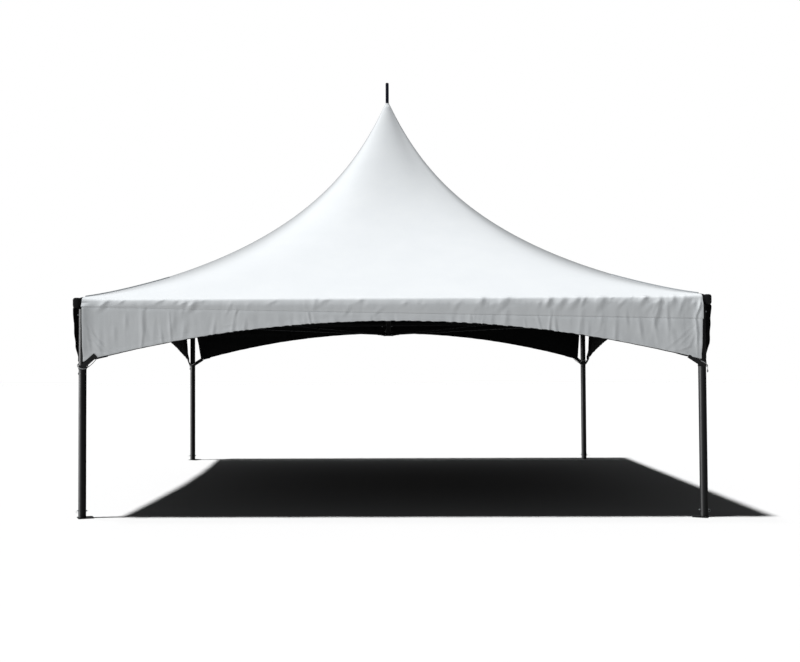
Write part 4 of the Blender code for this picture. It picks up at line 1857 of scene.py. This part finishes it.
@dataclass
class LegTie:
    """The webbing round a leg, its straps over the valances' corners, and the cord ring below them."""

    plan: Plan
    palette: Palette
    corner: Corner
    valance: Valance
    band_z: float = 1.485
    band_half: float = 0.020
    band_wall: float = 0.0035
    band_thick: float = 0.002
    band_slack: float = 0.0010
    band_slant: float = 0.002
    strap_width: float = 0.050
    strap_thick: float = 0.0022
    strap_aside: float = 0.006
    strap_bow: float = 0.004
    strap_curl: float = 0.0012
    strap_to: float = 2.905
    strap_to_z: float = 1.603
    low_strap_z: float = 1.575
    strap_clear: float = 0.0065
    ring_z: float = 1.498
    ring_r: float = 0.0500
    ring_tilt: float = 0.030
    ring_steps: int = 44
    cord_r: float = 0.0046
    tail_r: float = 0.0036
    drop_r: float = 0.0026
    sleeve_r: float = 0.0085
    tail_start: float = 2.895
    sleeve_length: float = 0.110
    tail_sag: float = 0.008
    tail_steps: int = 14
    eyelet_z: float = 1.422
    eyelet_r: float = 0.012
    eyelet_wall: float = 0.0032

    def build(self) -> None:
        """Makes the tie of one leg."""
        plan = self.plan
        body = bmesh.new()
        body.loops.layers.uv.new(WEAVE_MAP)
        leg = shift(-plan.leg_axis, -plan.leg_axis, 0)
        add_shape(body, self.band(), self.corner.turn @ leg)
        for mirrored in (False, True):
            add_shape(body, self.strap(mirrored), self.corner.turn)
            add_shape(body, self.sleeve(mirrored), self.corner.turn)
        make_piece(f"webbing_tie_{self.corner.label}", body, (self.palette.webbing,),
                   [f"leg_tie_{self.corner.label}"])
        cords = bmesh.new()
        cords.loops.layers.uv.new(WEAVE_MAP)
        add_shape(cords, self.cord_ring(), self.corner.turn @ leg)
        add_shape(cords, self.cord_tail(), self.corner.turn)
        make_piece(f"tie_cord_{self.corner.label}", cords, (self.palette.cord,))

    def band(self) -> bmesh.types.BMesh:
        """The band of webbing round the leg.

        Returns:
            The shape about the leg's axis.
        """
        bore = self.plan.tube_r + GAP

        def place(u: float, v: float) -> tuple[Vector, float, float]:
            """Puts a share round and up on the band.

            Args:
                u: From 0 to 1 round the leg.
                v: From 0 at the lower edge to 1 at the upper one.

            Returns:
                The point and its place on the webbing, round and up.
            """
            angle = FULL_TURN * u
            slack = self.band_slack * (1 + math.sin(2 * angle + 0.7))
            radius = bore + self.band_wall - self.band_thick + slack
            height = self.band_z + self.band_half * (2 * v - 1) + self.band_slant * math.sin(angle)
            spot = Vector((radius * math.cos(angle), radius * math.sin(angle), height))
            return spot, radius * angle, height

        band = sheet_grid(48, 4, place)
        bmesh.ops.remove_doubles(band, verts=band.verts[:], dist=1e-5)
        fatten(band, self.band_thick)
        return band

    def strap(self, mirrored: bool) -> bmesh.types.BMesh:
        """A strap from the band up over the lower corner of a valance.

        Args:
            mirrored: False over the side's own valance and True over the next one.

        Returns:
            The shape at the front left corner.
        """
        plan = self.plan
        start = Vector((-plan.leg_axis + self.strap_aside, -plan.leg_axis - plan.tube_r - self.strap_thick,
                        self.band_z))
        to_z = self.low_strap_z if mirrored else self.strap_to_z
        out = self.valance.drape.out(-self.strap_to, plan.eave_z - to_z) + self.strap_clear
        end = Vector((-self.strap_to, -out, to_z))
        heading = (end - start).normalized()
        width = heading.cross(Vector((0, 1, 0))).normalized()

        def place(u: float, v: float) -> tuple[Vector, float, float]:
            """Puts a share across and along on the strap.

            Args:
                u: From 0 to 1 across the strap.
                v: From 0 at the band to 1 at the valance.

            Returns:
                The point and its place on the webbing, across and along.
            """
            bow = self.strap_bow * math.sin(math.pi * v)
            middle = start.lerp(end, v) + Vector((0, -bow, 0))
            curve = self.strap_curl * (2 * u - 1) ** 2
            point = middle + width * (self.strap_width * (u - 0.5)) + Vector((0, curve, 0))
            return point, self.strap_width * u, (end - start).length * v

        strap = sheet_grid(6, 24, place)
        fatten(strap, self.strap_thick)
        return mirror_shape(strap) if mirrored else strap

    def cord_ring(self) -> bmesh.types.BMesh:
        """The pale cord looped round the leg, low at the front, with the little eyelet that it holds.

        Returns:
            The shape about the leg's axis.
        """
        path = []
        for step in range(self.ring_steps):
            angle = FULL_TURN * step / self.ring_steps
            height = self.ring_z - self.ring_tilt * math.cos(angle + 1.2)
            path.append(Vector((self.ring_r * math.cos(angle), self.ring_r * math.sin(angle), height)))
        rings = swept(path, self.cord_r, 8, closed=True)
        eyelet = bead(self.eyelet_r, self.eyelet_wall, 24, 8)
        add_shape(rings, eyelet, shift(-0.018, -self.ring_r + 0.002, self.eyelet_z)
                  @ Matrix.Rotation(math.pi / 2, 4, "X"))
        hook = Vector((-0.017, -self.ring_r + 0.001, self.eyelet_z + 0.011))
        drop = [hook + Vector((0, 0, 0.006 * step)) for step in range(8)]
        add_shape(rings, swept(drop, self.drop_r, 8))
        return rings

    def cord_tail(self) -> bmesh.types.BMesh:
        """The pale end of the hem's cord, from the hem of the side's own valance down to the ring.

        Returns:
            The shape at the front left corner.
        """
        axis = self.plan.leg_axis
        start = self.hem_point(self.tail_start)
        end = Vector((-axis + self.ring_r * 0.98, -axis - self.ring_r * 0.20, self.ring_z - 0.018))
        path = []
        for step in range(self.tail_steps + 1):
            share = step / self.tail_steps
            sag = self.tail_sag * math.sin(math.pi * share)
            path.append(start.lerp(end, share) - Vector((0, 0, sag)))
        return swept(path, self.tail_r, 8)

    def sleeve(self, mirrored: bool) -> bmesh.types.BMesh:
        """The black sleeve on the hem's cord where it leaves the hem.

        Args:
            mirrored: False on the side's own valance and True on the next one.

        Returns:
            The shape at the front left corner.
        """
        path = [self.hem_point(self.tail_start - self.sleeve_length * (1 - step / 10)) for step in range(11)]
        sleeve = swept(path, self.sleeve_r, 10)
        return mirror_shape(sleeve) if mirrored else sleeve

    def hem_point(self, out: float) -> Vector:
        """A point just under the hem on the side's own valance, so far out from its middle."""
        return self.valance.point(-out, self.valance.bottom(-out) - 0.004) + Vector((0, 0.004, 0))


def fatten(shape: bmesh.types.BMesh, thickness: float) -> None:
    """Gives an open band its thickness, with its faces turned outwards.

    Args:
        shape: The band, which is changed.
        thickness: Its thickness.
    """
    bmesh.ops.recalc_face_normals(shape, faces=shape.faces[:])
    bmesh.ops.solidify(shape, geom=shape.faces[:], thickness=thickness)
    bmesh.ops.recalc_face_normals(shape, faces=shape.faces[:])


def mirror_shape(shape: bmesh.types.BMesh) -> bmesh.types.BMesh:
    """Mirrors a shape over the front left diagonal.

    Args:
        shape: The shape, which is changed.

    Returns:
        The same shape.
    """
    swap = Matrix(((0, 1, 0, 0), (1, 0, 0, 0), (0, 0, 1, 0), (0, 0, 0, 1)))
    bmesh.ops.transform(shape, matrix=swap, verts=shape.verts[:])
    bmesh.ops.recalc_face_normals(shape, faces=shape.faces[:])
    return shape


@dataclass(frozen=True)
class FarLight:
    """A light from far off: where it shines from, how strong it is and how wide it looks."""

    name: str
    comes_from: tuple[float, float, float]
    power: float
    spread: float

    def build(self, only: Sequence[bpy.types.Object] = ()) -> bpy.types.Object:
        """Adds the light to the scene.

        Args:
            only: The pieces that it lights, or none where it lights all.

        Returns:
            The light.
        """
        data = bpy.data.lights.new(self.name, "SUN")
        data.energy = self.power
        data.angle = math.radians(self.spread)
        light = bpy.data.objects.new(self.name, data)
        light.rotation_mode = "QUATERNION"
        light.rotation_quaternion = Vector(self.comes_from).to_track_quat("Z", "Y")
        bpy.context.scene.collection.objects.link(light)
        if only:
            lit = bpy.data.collections.new(f"lit_by_{self.name}")
            for piece in only:
                lit.objects.link(piece)
            light.light_linking.receiver_collection = lit
        return light


@dataclass
class Studio:
    """Pale floor, soft light and the camera at the photograph's angle."""

    camera_spot: tuple[float, float, float] = (-0.0916, -13.4412, 1.5333)
    pitch: float = math.radians(1.632)
    yaw: float = math.radians(-1.029)
    roll: float = math.radians(0.264)
    lens: float = 47.43
    lens_shift: float = 0.0471
    sensor: float = 36.0
    sight: float = 300.0
    # High and a little behind on the left; low and soft on the left; along the legs' left; on the floor alone
    key: FarLight = FarLight("key_light", (-0.267, 0.14, 0.95), 2.13, 4)
    side: FarLight = FarLight("side_light", (-0.93, -0.36, 0.12), 0.85, 30)
    edge: FarLight = FarLight("frame_light", (-0.97, -0.17, 0.03), 7.0, 12)
    ground: FarLight = FarLight("floor_light", (-0.267, -0.044, 0.93), 50.0, 4)
    floor_half: float = 60.0
    floor_seen: str = "#464646"
    floor_thrown: str = "#282828"
    sky: float = 0.19
    sky_tilt: tuple[float, float, float] = (-0.25, -0.12, 0.33)
    least_sky: float = 0.015
    card_power: float = 0.6
    card_back: tuple[float, float] = (0.10, 0.50)
    card_up: tuple[float, float] = (0.39, 0.64)

    def build(self) -> None:
        """Makes the studio; its key and side lights don't glare in the fabric's skin."""
        self.build_camera()
        self.build_floor()
        for light in (self.key, self.side):
            light.build().visible_glossy = False
        self.build_sky()

    def build_camera(self) -> None:
        """Makes the camera."""
        data = bpy.data.cameras.new("camera")
        data.lens = self.lens
        data.sensor_width = self.sensor
        data.shift_x = self.lens_shift
        data.clip_end = self.sight
        camera = bpy.data.objects.new("camera", data)
        turn = (Matrix.Rotation(-self.yaw, 3, "Z") @ Matrix.Rotation(self.pitch, 3, "X")
                @ Matrix.Rotation(self.roll, 3, "Y"))
        looks = Matrix((turn.col[0], turn.col[2], -turn.col[1])).transposed()
        camera.matrix_world = Matrix.Translation(self.camera_spot) @ looks.to_4x4()
        bpy.context.scene.collection.objects.link(camera)
        bpy.context.scene.camera = camera
        bpy.context.scene.view_settings.view_transform = "Standard"

    def build_floor(self) -> None:
        """Makes the pale floor, which throws less light back up than it shows, and the light on it alone."""
        body = bmesh.new()
        bmesh.ops.create_grid(body, x_segments=8, y_segments=8, size=self.floor_half)
        mesh = bpy.data.meshes.new("floor")
        body.to_mesh(mesh)
        body.free()
        material = bpy.data.materials.new("seamless_paper_white")
        material.use_nodes = True
        tree = material.node_tree
        seen = add_node(tree, "ShaderNodeLightPath").outputs["Is Camera Ray"]
        mix = add_node(tree, "ShaderNodeMix",
                       {0: seen, 6: linear(self.floor_thrown), 7: linear(self.floor_seen)}, data_type="RGBA")
        fill(tree, tree.nodes["Principled BSDF"],
             {"Roughness": 1.0, "Specular IOR Level": 0.0, "Base Color": mix.outputs[2]})
        mesh.materials.append(material)
        floor = bpy.data.objects.new("floor", mesh)
        bpy.context.scene.collection.objects.link(floor)
        self.ground.build([floor])

    def light_frame(self) -> None:
        """Makes the light that draws a pale edge along the left of the legs, and lights nothing else."""
        lit = ("leg_tube", "foot_plate")
        self.edge.build([item for item in bpy.data.objects if item.name.startswith(lit)])

    def build_sky(self) -> None:
        """Makes a dim sky, brightest above and to the left, that the camera sees as a white backdrop.

        High behind the tent it holds a broad bright card, which the flat lower part of the roof reflects.
        """
        world = bpy.data.worlds.new("studio")
        world.use_nodes = True
        tree = world.node_tree
        tree.nodes.clear()
        towards = add_node(tree, "ShaderNodeTexCoord").outputs["Generated"]
        lean = add_node(tree, "ShaderNodeVectorMath", {0: towards, 1: self.sky_tilt}, operation="DOT_PRODUCT")
        even = calculate(tree, "ADD", lean.outputs["Value"], self.sky)
        bare = calculate(tree, "MAXIMUM", even, self.least_sky)
        part = add_node(tree, "ShaderNodeSeparateXYZ", {"Vector": towards}).outputs
        high = ramp(tree, part["Z"], *self.card_up, smooth=True)
        behind = ramp(tree, part["Y"], *self.card_back, to_high=self.card_power, smooth=True)
        power = calculate(tree, "MULTIPLY_ADD", high, behind, bare)
        dim = add_node(tree, "ShaderNodeBackground", {"Color": linear("#FAFCFF"), "Strength": power})
        white = add_node(tree, "ShaderNodeBackground", {"Color": linear("#FFFFFF"), "Strength": 1.0})
        seen = add_node(tree, "ShaderNodeLightPath").outputs["Is Camera Ray"]
        mix = add_node(tree, "ShaderNodeMixShader", {0: seen, 1: dim.outputs[0], 2: white.outputs[0]})
        add_node(tree, "ShaderNodeOutputWorld", {"Surface": mix.outputs[0]})
        bpy.context.scene.world = world


def dress_splices(palette: Palette) -> None:
    """Gives the sleeves inside the eave tubes the frame's finish.

    Args:
        palette: The tent's finishes.
    """
    for side in Side:
        mesh = frame["nodes"][f"eave_splice_{side.label}"].data
        mesh.materials.clear()
        mesh.materials.append(palette.frame)


def main() -> None:
    """Builds the tent's looks and the studio round it."""
    logging.basicConfig(level=logging.INFO, format="%(message)s")
    studio = Studio()
    studio.build()
    plan = Plan.from_frame()
    palette = Palette.build()
    form = RoofForm(plan)
    tapers = {Side.BACK: (0.055, 0.105)}
    drapes = {side: Drape(plan, side, 11 + side.value, hem_taper=tapers.get(side, (0.0, 0.0)))
              for side in Side}
    Canopy(plan, palette, form, drapes).build()
    tops = {Side.FRONT: 1.924, Side.RIGHT: 1.945, Side.BACK: 1.965, Side.LEFT: 1.945}
    columns = {Side.FRONT: 780, Side.RIGHT: 500, Side.BACK: 500, Side.LEFT: 500}
    valances = {side: Valance(plan, palette, side, drapes[side], tops[side], columns[side]) for side in Side}
    for valance in valances.values():
        valance.build()
    TubeFrame(plan, palette).build()
    Mast(plan, palette, form).build()
    for corner in Corner:
        StayRope(palette, corner).build()
        LegTie(plan, palette, corner, valances[Side(corner.value)]).build()
    dress_splices(palette)
    studio.light_frame()


if __name__ == "__main__":
    main()
